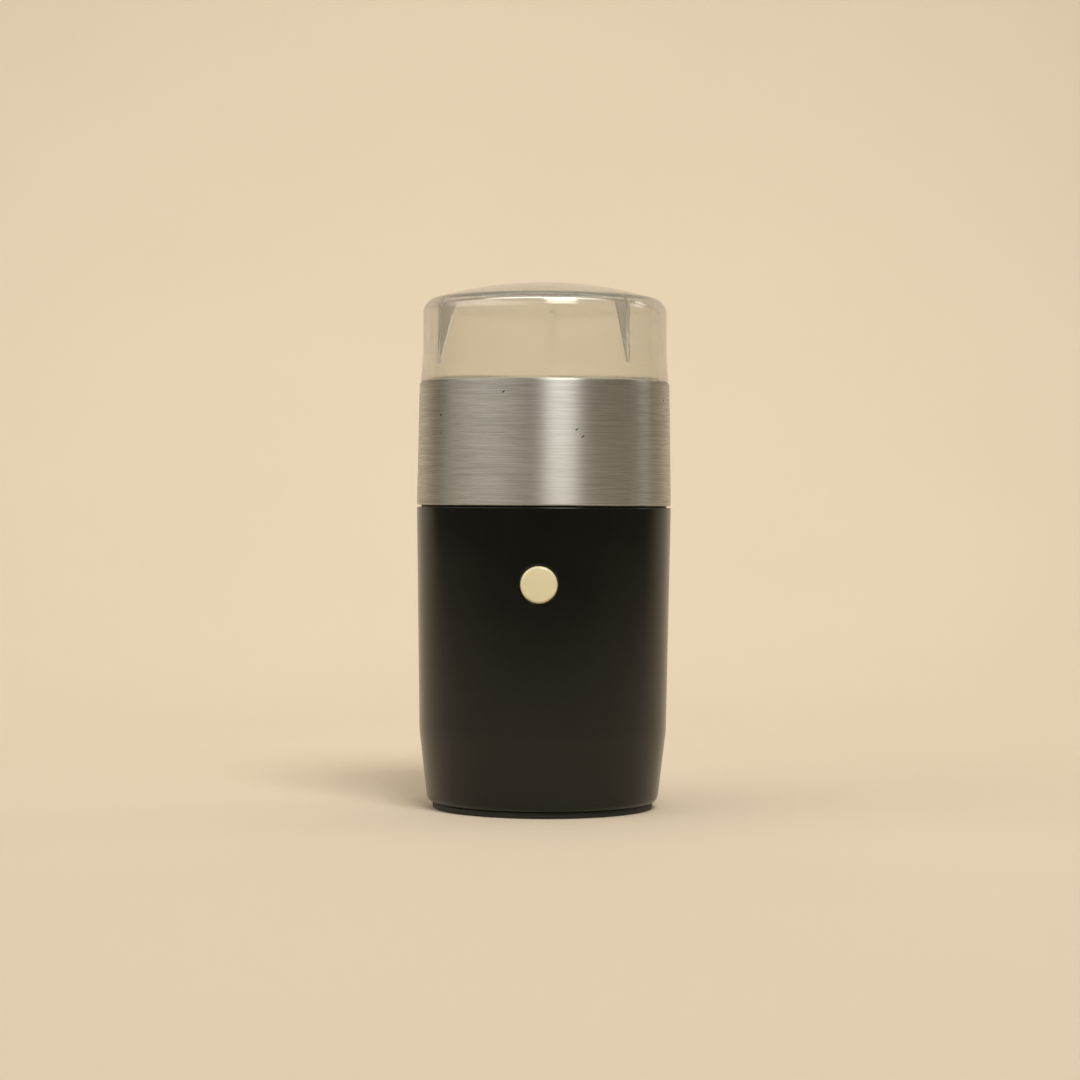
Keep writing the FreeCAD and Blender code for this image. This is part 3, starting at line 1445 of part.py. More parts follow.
def make_blade_nut():
    """Hexagon nut with a domed end."""
    body = new_body("blade_nut")
    sketch = new_sketch(body, "hexagon", "XY_Plane", as_size(0))
    radius = s.cap_nut_radius
    corners = []
    for step in range(6):
        angle = as_size(60 * step + 30)
        corners.append((radius * cosine(angle), radius * sine(angle)))
    outline(sketch, corners)
    extruded(body, "hexagon_pad", sketch, s.cap_nut_height * 0.6)
    dome = radius * 0.78
    turned(body, "dome", [
        (0, s.cap_nut_height * 0.5),
        (dome, s.cap_nut_height * 0.5),
        (dome, s.cap_nut_height * 0.6),
        (0, s.cap_nut_height + 0.8, dome * 1.02, 1),
    ])
    sketch = new_sketch(body, "thread_outline", "XY_Plane", as_size(0))
    circles(sketch, [(0, 0)], s.thread_radius + 0.05)
    extruded(body, "thread", sketch, s.thread_length + 0.1, reverse=True, cut=True)
    place(body, z=blade_height + s.blade_thickness)
    return body


NODES = [
    make_housing(),
    make_foot_ring(),
    make_cord_grommet(),
    make_motor_carrier(),
    make_carrier_screws(),
    make_grinding_bowl(),
    make_bowl_gasket(),
    make_bowl_nut(),
    make_shaft_seal(),
    make_lid(),
    make_button(),
    make_button_spring(),
    make_switch_body(),
    make_switch_lever(),
    make_switch_terminals(),
    make_stator_core(),
    make_field_coil("field_coil_right", 1),
    make_field_coil("field_coil_left", -1),
    make_upper_bracket(),
    make_lower_bracket(),
    make_bearing("upper_bearing", upper_hub_bottom, s.upper_bearing_height),
    make_bearing("lower_bearing", lower_bearing_bottom, s.lower_bearing_height),
    make_rubber_mounts(),
    make_motor_screws(),
    make_carbon_brushes(),
    make_brush_springs(),
    make_brush_caps(),
    make_motor_shaft(),
    make_rotor_core(),
    make_rotor_winding(),
    make_commutator(),
    make_thrust_washers(),
    make_cooling_fan(),
    make_blade(),
    make_blade_nut(),
]

doc.recompute()
faults = []
for item in doc.Objects:
    if "Invalid" in item.State or "Error" in item.State:
        faults.append(f"{item.Label}: {item.State}")
for node in NODES:
    if node.Shape.isNull() or not node.Shape.isValid():
        faults.append(f"{node.Label}: no valid shape")
if faults:
    raise RuntimeError("\n".join(faults))

os.makedirs("parts", exist_ok=True)
for node in NODES:
    node.Shape.exportStep(f"parts/{node.Label}.step")
    print(f"{node.Label}: {len(node.Shape.Solids)} solids, {node.Shape.Volume:.1f} mm3")
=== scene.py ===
import json
import math

import bmesh
import bpy
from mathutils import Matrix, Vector


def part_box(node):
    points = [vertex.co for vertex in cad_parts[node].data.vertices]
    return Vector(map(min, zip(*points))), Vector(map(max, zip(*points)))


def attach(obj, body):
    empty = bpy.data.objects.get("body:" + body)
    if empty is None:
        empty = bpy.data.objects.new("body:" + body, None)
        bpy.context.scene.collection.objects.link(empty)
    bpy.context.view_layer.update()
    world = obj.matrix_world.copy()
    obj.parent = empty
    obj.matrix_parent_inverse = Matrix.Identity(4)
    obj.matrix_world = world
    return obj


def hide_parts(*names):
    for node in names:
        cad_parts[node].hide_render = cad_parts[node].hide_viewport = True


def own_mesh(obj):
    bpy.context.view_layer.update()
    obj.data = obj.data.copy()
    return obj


# Electric spice grinder. Metres, +Z up, button towards -Y.
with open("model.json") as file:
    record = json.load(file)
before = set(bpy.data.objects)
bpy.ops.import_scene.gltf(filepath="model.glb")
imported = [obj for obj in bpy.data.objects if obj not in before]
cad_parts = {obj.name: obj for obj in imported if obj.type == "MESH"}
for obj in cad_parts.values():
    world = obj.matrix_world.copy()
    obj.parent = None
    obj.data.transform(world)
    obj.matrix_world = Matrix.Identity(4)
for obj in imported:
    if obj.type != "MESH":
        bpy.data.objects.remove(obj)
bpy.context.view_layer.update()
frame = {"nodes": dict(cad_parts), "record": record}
nodes = frame["nodes"]
scene = bpy.context.scene
mm = 0.001
hair = 1e-9   # metres; closer than this counts as touching
slack = 1e-7   # metres; what is this near to a row or to the axis lies on it
print("frame loaded:", len(nodes), "nodes")


# drawing helpers

def hexColour(code):
    # sRGB hex to linear
    channels = [int(code[i:i + 2], 16) / 255 for i in (0, 2, 4)]
    return [c / 12.92 if c <= 0.04045 else ((c + 0.055) / 1.055) ** 2.4 for c in channels] + [1.0]


def roundPath(corners, degreesPerStep=9):
    # corners in mm: (radius, height) or (radius, height, rounding); returns the closed path in metres
    path = []
    count = len(corners)
    for index, corner in enumerate(corners):
        here = Vector(corner[:2])
        if len(corner) == 2 or corner[2] <= 0:
            path.append(here * mm)
            continue
        before = (Vector(corners[index - 1][:2]) - here).normalized()
        after = (Vector(corners[(index + 1) % count][:2]) - here).normalized()
        half = before.angle(after) / 2
        reach = corner[2] / math.tan(half)
        centre = here + (before + after).normalized() * (corner[2] / math.sin(half))
        first = here + before * reach - centre
        last = here + after * reach - centre
        sweep = first.angle_signed(last)
        steps = max(2, round(abs(math.degrees(sweep)) / degreesPerStep))
        start = math.atan2(first.y, first.x)
        for step in range(steps + 1):
            angle = start - sweep * step / steps
            path.append((centre + Vector((math.cos(angle), math.sin(angle))) * corner[2]) * mm)
    return path


def fillRows(path, low, high, gap):
    # adds even rows between two heights (metres) where the path crosses them
    filled = []
    for index, point in enumerate(path):
        after = path[(index + 1) % len(path)]
        filled.append(point)
        bottom, top = sorted((point.y, after.y))
        if top - bottom < hair or bottom > low + hair or top < high - hair:
            continue
        rows = [low + gap * step for step in range(round((high - low) / gap) + 1)]
        if after.y < point.y:
            rows.reverse()
        for row in rows:
            filled.append(point.lerp(after, (row - point.y) / (after.y - point.y)))
    return filled


def spinRings(mesh, path, angles):
    rings = []
    for radius, height in path:
        if radius < slack:
            rings.append([mesh.verts.new((0, 0, height))])
        else:
            rings.append([mesh.verts.new((radius * math.cos(a), radius * math.sin(a), height))
                          for a in angles])
    return rings


def joinRings(mesh, rings, closed=True, skip=()):
    # quads between each two rings, apart from the (ring, column) pairs in skip
    last = len(rings) if closed else len(rings) - 1
    for index in range(last):
        low, high = rings[index], rings[(index + 1) % len(rings)]
        columns = max(len(low), len(high))
        if columns == 1:
            continue
        for column in range(columns):
            if (index, column) in skip:
                continue
            after = (column + 1) % columns
            corners = [low[column % len(low)], low[after % len(low)],
                       high[after % len(high)], high[column % len(high)]]
            mesh.faces.new(list(dict.fromkeys(corners)))


def makePiece(name, mesh, sharpDegrees=32):
    bmesh.ops.recalc_face_normals(mesh, faces=mesh.faces)
    data = bpy.data.meshes.new(name)
    mesh.to_mesh(data)
    mesh.free()
    data.polygons.foreach_set("use_smooth", [True] * len(data.polygons))
    data.set_sharp_from_angle(angle=math.radians(sharpDegrees))
    piece = bpy.data.objects.new(name, data)
    scene.collection.objects.link(piece)
    return piece


def evenAngles(count):
    return [2 * math.pi * step / count for step in range(count)]


def spun(name, path, count=192, sharpDegrees=32):
    mesh = bmesh.new()
    joinRings(mesh, spinRings(mesh, path, evenAngles(count)))
    return makePiece(name, mesh, sharpDegrees)


def dress(piece, body, slot, material, *replaced):
    piece.data.materials.clear()
    piece.data.materials.append(material)
    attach(piece, body)
    if replaced:
        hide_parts(*replaced)


# materials

def addNode(tree, kind, settings=None, links=None):
    # settings are node properties or input values; links are input name to output socket
    node = tree.nodes.new(kind)
    for key, value in (settings or {}).items():
        if isinstance(key, str) and hasattr(node, key):
            setattr(node, key, value)
        else:
            node.inputs[key].default_value = value
    for key, socket in (links or {}).items():
        tree.links.new(socket, node.inputs[key])
    return node


def newMaterial(name, settings):
    material = bpy.data.materials.new(name)
    material.use_nodes = True
    tree = material.node_tree
    tree.nodes.clear()
    shader = addNode(tree, "ShaderNodeBsdfPrincipled", settings)
    addNode(tree, "ShaderNodeOutputMaterial", None, {"Surface": shader.outputs[0]})
    place = addNode(tree, "ShaderNodeTexCoord").outputs["Object"]
    return material, tree, shader, place


def patternPlace(tree, place, sizesMm, turnDegrees=(0, 0, 0)):
    # coordinates in which one unit is the given size along each axis
    scale = [1 / (size * mm) for size in sizesMm]
    turn = [math.radians(t) for t in turnDegrees]
    turned = addNode(tree, "ShaderNodeMapping", {"Rotation": turn}, {"Vector": place})
    return addNode(tree, "ShaderNodeMapping", {"Scale": scale}, {"Vector": turned.outputs[0]}).outputs[0]


def moulded(name, colour, second, roughness, spread, grainMm, depthMm, ior=1.5, sheen=0.0):
    # a moulded part: faint cloudiness from the flow, mould grain as a low bump, gloss that wanders a little
    material, tree, shader, place = newMaterial(name, {"IOR": ior, "Sheen Weight": sheen})
    cloud = addNode(tree, "ShaderNodeTexNoise", {"Scale": 1.0, "Detail": 3.0},
                    {"Vector": patternPlace(tree, place, (14, 14, 14))}).outputs["Fac"]
    grain = addNode(tree, "ShaderNodeTexNoise", {"Scale": 1.0, "Detail": 2.0},
                    {"Vector": patternPlace(tree, place, (grainMm,) * 3)}).outputs["Fac"]
    clouded = addNode(tree, "ShaderNodeMix",
                      {"data_type": "RGBA", 6: hexColour(colour), 7: hexColour(second)}, {0: cloud})
    tree.links.new(clouded.outputs[2], shader.inputs["Base Color"])
    gloss = addNode(tree, "ShaderNodeMapRange",
                    {"From Min": 0.3, "From Max": 0.7, "To Min": roughness - spread,
                     "To Max": roughness + spread}, {"Value": cloud}).outputs[0]
    tree.links.new(gloss, shader.inputs["Roughness"])
    bump = addNode(tree, "ShaderNodeBump", {"Strength": 0.6, "Distance": depthMm * mm}, {"Height": grain})
    tree.links.new(bump.outputs[0], shader.inputs["Normal"])
    return material


def worked(name, colour, second, roughness, spread, lineMm, depthMm, turn=(0, 0, 0), anisotropy=0.0):
    # bare metal that keeps the lines of the tool: lineMm is the size of a line along x, y and z
    material, tree, shader, place = newMaterial(name, {"Metallic": 1.0, "Anisotropic": anisotropy})
    lines = addNode(tree, "ShaderNodeTexNoise", {"Scale": 1.0, "Detail": 4.0, "Roughness": 0.6},
                    {"Vector": patternPlace(tree, place, lineMm, turn)}).outputs["Fac"]
    lined = addNode(tree, "ShaderNodeMix",
                    {"data_type": "RGBA", 6: hexColour(colour), 7: hexColour(second)}, {0: lines})
    tree.links.new(lined.outputs[2], shader.inputs["Base Color"])
    gloss = addNode(tree, "ShaderNodeMapRange",
                    {"From Min": 0.3, "From Max": 0.7, "To Min": roughness - spread,
                     "To Max": roughness + spread}, {"Value": lines}).outputs[0]
    tree.links.new(gloss, shader.inputs["Roughness"])
    bump = addNode(tree, "ShaderNodeBump", {"Strength": 0.5, "Distance": depthMm * mm}, {"Height": lines})
    tree.links.new(bump.outputs[0], shader.inputs["Normal"])
    return material


def clearSan(name, colour, roughness):
    # SAN, a clear styrene plastic, injection moulded: slightly warm, glassy, with faint flow waves
    material, tree, shader, place = newMaterial(name, {
        "Base Color": hexColour(colour), "Roughness": roughness, "IOR": 1.56, "Transmission Weight": 0.94})
    waves = addNode(tree, "ShaderNodeTexNoise", {"Scale": 1.0, "Detail": 1.0},
                    {"Vector": patternPlace(tree, place, (11, 11, 19))}).outputs["Fac"]
    bump = addNode(tree, "ShaderNodeBump", {"Strength": 0.3, "Distance": 0.05 * mm}, {"Height": waves})
    tree.links.new(bump.outputs[0], shader.inputs["Normal"])
    # lamps shine through it onto what it covers, a little warmer for it
    through = addNode(tree, "ShaderNodeBsdfTransparent", {"Color": hexColour("F1ECE0")})
    shadowRay = addNode(tree, "ShaderNodeLightPath").outputs["Is Shadow Ray"]
    mix = addNode(tree, "ShaderNodeMixShader", None,
                  {0: shadowRay, 1: shader.outputs[0], 2: through.outputs[0]})
    output = next(n for n in tree.nodes if n.type == "OUTPUT_MATERIAL")
    tree.links.new(mix.outputs[0], output.inputs["Surface"])
    return material


bandLook = {
    "colour": "C6C7C6", "second": "A9A9A6",   # light and dark streaks
    "streakLength": 14, "streakPitch": 0.18,   # real lines are finer; drawn as coarse as shows
    "roughness": 0.42, "anisotropy": 0.9, "lineDepth": 0.012,
    # nicks: cells in mm with their slant, their size as shares of a cell, and how many cells have none
    "nickCell": (3.2, 9, 9), "nickTurn": (0, -50, 0), "nickSize": (0.055, 0.078), "nickShare": 0.35,
    "nickColour": "38342E",
}


def brushedStainless():
    # 18/8 stainless steel, brushed round on a lathe: lines run round the wall, so lights stretch upwards
    look = bandLook
    material, tree, shader, place = newMaterial("brushedStainless", {
        "Metallic": 1.0, "Anisotropic": look["anisotropy"], "Anisotropic Rotation": 0.25})
    tangent = addNode(tree, "ShaderNodeTangent", {"direction_type": "RADIAL", "axis": "Z"})
    tree.links.new(tangent.outputs[0], shader.inputs["Tangent"])
    long = look["streakLength"]
    streaks = addNode(tree, "ShaderNodeTexNoise", {"Scale": 1.0, "Detail": 4.0, "Roughness": 0.7},
                      {"Vector": patternPlace(tree, place, (long, long, look["streakPitch"]))}).outputs["Fac"]
    sharper = addNode(tree, "ShaderNodeMapRange", {"From Min": 0.4, "From Max": 0.6},
                      {"Value": streaks}).outputs[0]
    steel = addNode(tree, "ShaderNodeMix", {"data_type": "RGBA", 6: hexColour(look["colour"]),
                                            7: hexColour(look["second"])}, {0: sharper}).outputs[2]
    # handling leaves a few short slanting nicks
    cells = addNode(tree, "ShaderNodeTexVoronoi", {"Scale": 1.0},
                    {"Vector": patternPlace(tree, place, look["nickCell"], look["nickTurn"])})
    whole, gone = look["nickSize"]
    near = addNode(tree, "ShaderNodeMapRange",
                   {"From Min": whole, "From Max": gone, "To Min": 1.0, "To Max": 0.0},
                   {"Value": cells.outputs["Distance"]}).outputs[0]
    chosen = addNode(tree, "ShaderNodeSeparateColor", None, {0: cells.outputs["Color"]}).outputs[0]
    rare = addNode(tree, "ShaderNodeMath", {"operation": "GREATER_THAN", 1: look["nickShare"]},
                   {0: chosen}).outputs[0]
    nick = addNode(tree, "ShaderNodeMath", {"operation": "MULTIPLY"}, {0: near, 1: rare}).outputs[0]
    marked = addNode(tree, "ShaderNodeMix", {"data_type": "RGBA", 7: hexColour(look["nickColour"])},
                     {0: nick, 6: steel})
    tree.links.new(marked.outputs[2], shader.inputs["Base Color"])
    gloss = addNode(tree, "ShaderNodeMapRange",
                    {"To Min": look["roughness"] - 0.05, "To Max": look["roughness"] + 0.07},
                    {"Value": sharper}).outputs[0]
    tree.links.new(gloss, shader.inputs["Roughness"])
    bump = addNode(tree, "ShaderNodeBump", {"Strength": 0.35, "Distance": look["lineDepth"] * mm},
                   {"Height": streaks})
    tree.links.new(bump.outputs[0], shader.inputs["Normal"])
    return material


# dust: cells in mm, the specks' size as shares of a cell, and how many cells have none
housingLook = {"colour": "090B07", "second": "0C0E09", "roughness": 0.21,
               "dustCell": 5.5, "dustSize": (0.02, 0.035), "dustShare": 0.8, "dustColour": "A79F8E"}


def satinAbs():
    # black ABS from a fine eroded mould: even satin, with a few specks of dust
    look = housingLook
    material = moulded("satinAbs", look["colour"], look["second"], look["roughness"], 0.02, 0.35, 0.002, 1.43)
    tree = material.node_tree
    shader = next(n for n in tree.nodes if n.type == "BSDF_PRINCIPLED")
    place = next(n for n in tree.nodes if n.type == "TEX_COORD").outputs["Object"]
    cells = addNode(tree, "ShaderNodeTexVoronoi", {"Scale": 1.0},
                    {"Vector": patternPlace(tree, place, (look["dustCell"],) * 3)})
    whole, gone = look["dustSize"]
    near = addNode(tree, "ShaderNodeMapRange",
                   {"From Min": whole, "From Max": gone, "To Min": 0.5, "To Max": 0.0},
                   {"Value": cells.outputs["Distance"]}).outputs[0]
    chosen = addNode(tree, "ShaderNodeSeparateColor", None, {0: cells.outputs["Color"]}).outputs[0]
    rare = addNode(tree, "ShaderNodeMath", {"operation": "GREATER_THAN", 1: look["dustShare"]},
                   {0: chosen}).outputs[0]
    speck = addNode(tree, "ShaderNodeMath", {"operation": "MULTIPLY"}, {0: near, 1: rare}).outputs[0]
    plain = shader.inputs["Base Color"].links[0].from_socket
    dusty = addNode(tree, "ShaderNodeMix", {"data_type": "RGBA", 7: hexColour(look["dustColour"])},
                    {0: speck, 6: plain})
    tree.links.new(dusty.outputs[2], shader.inputs["Base Color"])
    return material


waveScale = 0.314   # at this scale one wave is one unit of the pattern's place


def laminated(name, colour, second, pitchMm):
    # stamped silicon steel sheets stacked along Z, dipped in varnish: a line at each joint
    material, tree, shader, place = newMaterial(
        name, {"Metallic": 0.6, "Roughness": 0.42, "Coat Weight": 0.3})
    sheets = addNode(tree, "ShaderNodeTexWave", {"bands_direction": "Z", "wave_profile": "SAW",
                                                 "Scale": waveScale, "Distortion": 0.4, "Detail": 1.0},
                     {"Vector": patternPlace(tree, place, (pitchMm,) * 3)}).outputs["Fac"]
    stacked = addNode(tree, "ShaderNodeMix",
                      {"data_type": "RGBA", 6: hexColour(colour), 7: hexColour(second)}, {0: sheets})
    tree.links.new(stacked.outputs[2], shader.inputs["Base Color"])
    bump = addNode(tree, "ShaderNodeBump", {"Strength": 0.7, "Distance": 0.05 * mm}, {"Height": sheets})
    tree.links.new(bump.outputs[0], shader.inputs["Normal"])
    return material


def woundCopper(name, wireMm, direction):
    # enamelled copper wire laid side by side: a row of round wires, with painted shade in the furrows between
    # them
    material, tree, shader, place = newMaterial(
        name, {"Metallic": 0.85, "Roughness": 0.3, "Coat Weight": 0.5})
    turns = addNode(tree, "ShaderNodeTexWave", {"bands_direction": direction, "Scale": waveScale,
                                                "Distortion": 0.6, "Detail": 1.0},
                    {"Vector": patternPlace(tree, place, (wireMm,) * 3)}).outputs["Fac"]
    # the darker colour lies in the furrows between the wires: painted shade
    wound = addNode(tree, "ShaderNodeMix",
                    {"data_type": "RGBA", 6: hexColour("5E2A12"), 7: hexColour("B4643A")}, {0: turns})
    tree.links.new(wound.outputs[2], shader.inputs["Base Color"])
    bump = addNode(tree, "ShaderNodeBump", {"Strength": 0.8, "Distance": 0.12 * mm}, {"Height": turns})
    tree.links.new(bump.outputs[0], shader.inputs["Normal"])
    return material


finishes = {
    "clear_plastic": clearSan("clearSan", "F3F1EB", 0.09),
    "brushed_bowl": brushedStainless(),
    "black_plastic": satinAbs(),
    # cream urea moulding from a polished mould: warm, opaque, glossy
    "cream_plastic": moulded("creamUrea", "E3DAB8", "DED4B0", 0.22, 0.04, 0.5, 0.003, 1.54),
    # nitrile rubber, compression moulded: dull with a dry bloom
    "black_rubber": moulded("nitrileRubber", "141312", "1D1B19", 0.72, 0.06, 0.25, 0.02, 1.52, 0.1),
    # glass-filled nylon: fibres leave a matte, faintly mottled skin
    "dark_nylon": moulded("glassFilledNylon", "1B1B1B", "242322", 0.55, 0.05, 0.4, 0.02, 1.53),
    # screw steel, cold headed and zinc plated: pale, with a soft shine
    "screw_steel": worked("zincPlatedSteel", "B9B8B0", "9C9A92", 0.3, 0.05, (0.8, 0.8, 0.8), 0.004),
    # shaft steel, ground round: fine rings
    "shaft_steel": worked("groundSteel", "B5B4B0", "9B9A97", 0.2, 0.04, (6, 6, 0.15), 0.002),
    # blade steel, rolled then tumbled: straight roll lines with soft scratches
    "blade_steel": worked("rolledBladeSteel", "BDBBB6", "A3A19B", 0.26, 0.05, (0.4, 7, 7), 0.004),
    # nickel plate over turned steel: bright and slightly warm
    "nut_steel": worked("nickelPlate", "C9C3B4", "B9B3A5", 0.14, 0.03, (2.5, 2.5, 2.5), 0.002),
    # silicon steel sheets, stamped and varnished: dull grey with a line at each joint
    "core_steel": laminated("varnishedLaminations", "5B5B5C", "39393B", 0.5),
    # zinc alloy, die cast: dull grey with a slight orange peel
    "bracket_alloy": worked("dieCastZinc", "9A9B9C", "84868A", 0.45, 0.05, (1.2, 1.2, 1.2), 0.02),
    # phenolic, compression moulded: brown-black, semi gloss
    "bracket_resin": moulded("phenolicMoulding", "2A1E17", "35271D", 0.4, 0.05, 0.6, 0.01, 1.6),
    # bronze powder, pressed and sintered: tiny open pores with oil in them
    "bearing_bronze": worked("sinteredBronze", "A07C48", "6E5330", 0.42, 0.08, (0.3, 0.3, 0.3), 0.02),
    # enamelled copper wire, wound: round wires side by side, reddish brown, with painted shade between them
    "coil_copper": woundCopper("enamelledCopper", 0.45, "Z"),
    # copper bars, turned: rings from the tool
    "commutator_copper": worked("turnedCopper", "C98A66", "A8694A", 0.24, 0.05, (8, 8, 0.2), 0.004),
    # sheet brass, stamped: yellow, with faint roll lines
    "contact_brass": worked("stampedBrass", "C6A25A", "AD8B49", 0.28, 0.05, (3, 0.5, 3), 0.004),
    # electrographite, pressed: dark grey with a faint metallic cast
    "brush_carbon": moulded("electrographite", "2B2B2D", "38383A", 0.48, 0.06, 0.2, 0.015, 1.8),
    # spring wire, drawn: lines along the wire
    "spring_steel": worked("drawnSpringWire", "A5A6A8", "87888B", 0.24, 0.05, (1.5, 1.5, 1.5), 0.002),
    # natural nylon, moulded: milky off-white
    "fan_plastic": moulded("naturalNylon", "D9D5C8", "CFCABB", 0.42, 0.04, 0.6, 0.006, 1.53),
    # thermoset switch case, matte dark grey
    "switch_plastic": moulded("switchPhenolic", "2C2E32", "35373B", 0.5, 0.04, 0.4, 0.008, 1.55),
    # vulcanised fibre, punched from sheet: reddish brown, dull
    "washer_fibre": moulded("vulcanisedFibre", "7A4528", "693A22", 0.65, 0.05, 0.3, 0.01, 1.5),
}
# the same SAN on the two front baffles, tinted darker and rougher: the darker tint is painted shade that
# makes them show as dark wedges
shadedBaffleSan = clearSan("shadedBaffleSan", "BDBFBD", 0.2)
nodeSlots = {entry["node"]: entry["material_slot"] for entry in frame["record"]["subparts"]}
for name, node in nodes.items():
    node.data.materials.clear()
    node.data.materials.append(finishes[nodeSlots[name]])
print("materials made:", len(finishes))


# sizes read from the frame, in mm

def boxMm(name):
    low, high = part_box(name)
    return low / mm, high / mm


housingLow, housingHigh = boxMm("housing")
bowlLow, bowlHigh = boxMm("grinding_bowl")
lidLow, lidHigh = boxMm("lid")
buttonLow, buttonHigh = boxMm("button")
footHigh = boxMm("foot_ring")[1]
widest = 40.0   # mm, the radius where the housing meets the band


# housing

housing = {
    "columns": 240, "baseRadius": 36.2, "baseRound": 2.6,
    "kneeRadius": 38.85, "kneeHeight": 24.3, "kneeRound": 30,
    "topRound": 0.35, "wall": 2.4, "floorTop": 4.3, "sharp": 40,
    "ledge": 93.05, "rebate": 38.8, "rebateRound": 0.15,
    "grooveIn": 31.2, "grooveOut": 32.8, "grooveTop": 3.0,
    "rowGap": 1.05, "rowsEachSide": 8, "columnsEachSide": 8,
    "buttonHeight": 71.2, "buttonHole": 5.95, "holeRound": 0.3,
    "inletHeight": 13.5, "inletRecess": 6.6, "inletNeck": 4.65, "inletFace": 35.6,
    "neckLength": 4.4, "neckBehind": 1.0,
    # in-between rings: shares of the way from a hole to the edge of its opening in the grid
    "buttonFront": (0.75, 0.5, 0.28, 0.1), "buttonBack": (0.15, 0.5), "inletFront": (0.6, 0.25),
    "vents": 12, "ventIn": 10, "ventOut": 24.5, "ventWidth": 2.4, "ventTurn": 15, "cutterExtra": 2,
    "turnWeight": 0.0015,   # square metres that a squared radian counts for when the loops are matched
}


def pierceWall(mesh, outer, inner, side, height, steps):
    # joins the openings left in two wall grids by rings of vertices round one axis along Y
    # steps are (radius, place, how far it is sunk in); place is "outer" or "inner" for a wall, a pair of
    # the wall and a share of the way to its opening's edge, or a distance from the middle
    def wallY(path, x, z):
        for (r1, z1), (r2, z2) in zip(path, path[1:]):
            if min(z1, z2) - hair <= z <= max(z1, z2) + hair and abs(z2 - z1) > hair:
                radius = r1 + (r2 - r1) * (z - z1) / (z2 - z1)
                return math.sqrt(radius * radius - x * x)
        raise ValueError("no wall at that height")

    first, last = outer["loop"], inner["loop"]
    loops = [first]
    spokes = [math.atan2(v.co.z - height, v.co.x * side) for v in first]
    for radius, place, sink in steps:
        loop = []
        for vertex, spoke in zip(first, spokes):
            x, z = radius * math.cos(spoke), radius * math.sin(spoke)
            if isinstance(place, tuple):
                # part of the way from the hole to the edge of the opening
                source = first if place[0] == "outer" else last
                edge = source[first.index(vertex)].co
                x = x + (edge.x * side - x) * place[1]
                z = z + (edge.z - height - z) * place[1]
                y = wallY(outer["path"] if place[0] == "outer" else inner["path"], x, height + z)
            elif isinstance(place, str):
                y = wallY(outer["path"] if place == "outer" else inner["path"], x, height + z)
            else:
                y = place
            loop.append(mesh.verts.new((x * side, (y - sink) * side, height + z)))
        loops.append(loop)
    loops.append(last)
    for one, two in zip(loops, loops[1:]):
        for k in range(len(one)):
            after = (k + 1) % len(one)
            mesh.faces.new((one[k], one[after], two[after], two[k]))


def gridOpening(path, rings, heights, middleColumn, columns):
    # the loop of vertices round an opening, and the quads to leave out
    low, high = heights
    rows = [index for index, (_, z) in enumerate(path) if low - slack <= z <= high + slack]
    first, last = rows[0], rows[-1]
    left, right = middleColumn - columns, middleColumn + columns
    skip = {(row, column) for row in range(first, last) for column in range(left, right)}
    loop = [rings[first][c] for c in range(left, right)]
    loop += [rings[r][right] for r in range(first, last)]
    loop += [rings[last][c] for c in range(right, left, -1)]
    loop += [rings[r][left] for r in range(last, first, -1)]
    return loop, skip


def roundedEdge(radius, rounding, steps):
    # the steps for pierceWall that round the outer edge of a hole, sizes in mm
    turns = [math.radians(90 * step / steps) for step in range(steps + 1)]
    return [((radius + rounding - rounding * math.sin(a)) * mm, "outer", rounding * (1 - math.cos(a)) * mm)
            for a in turns]


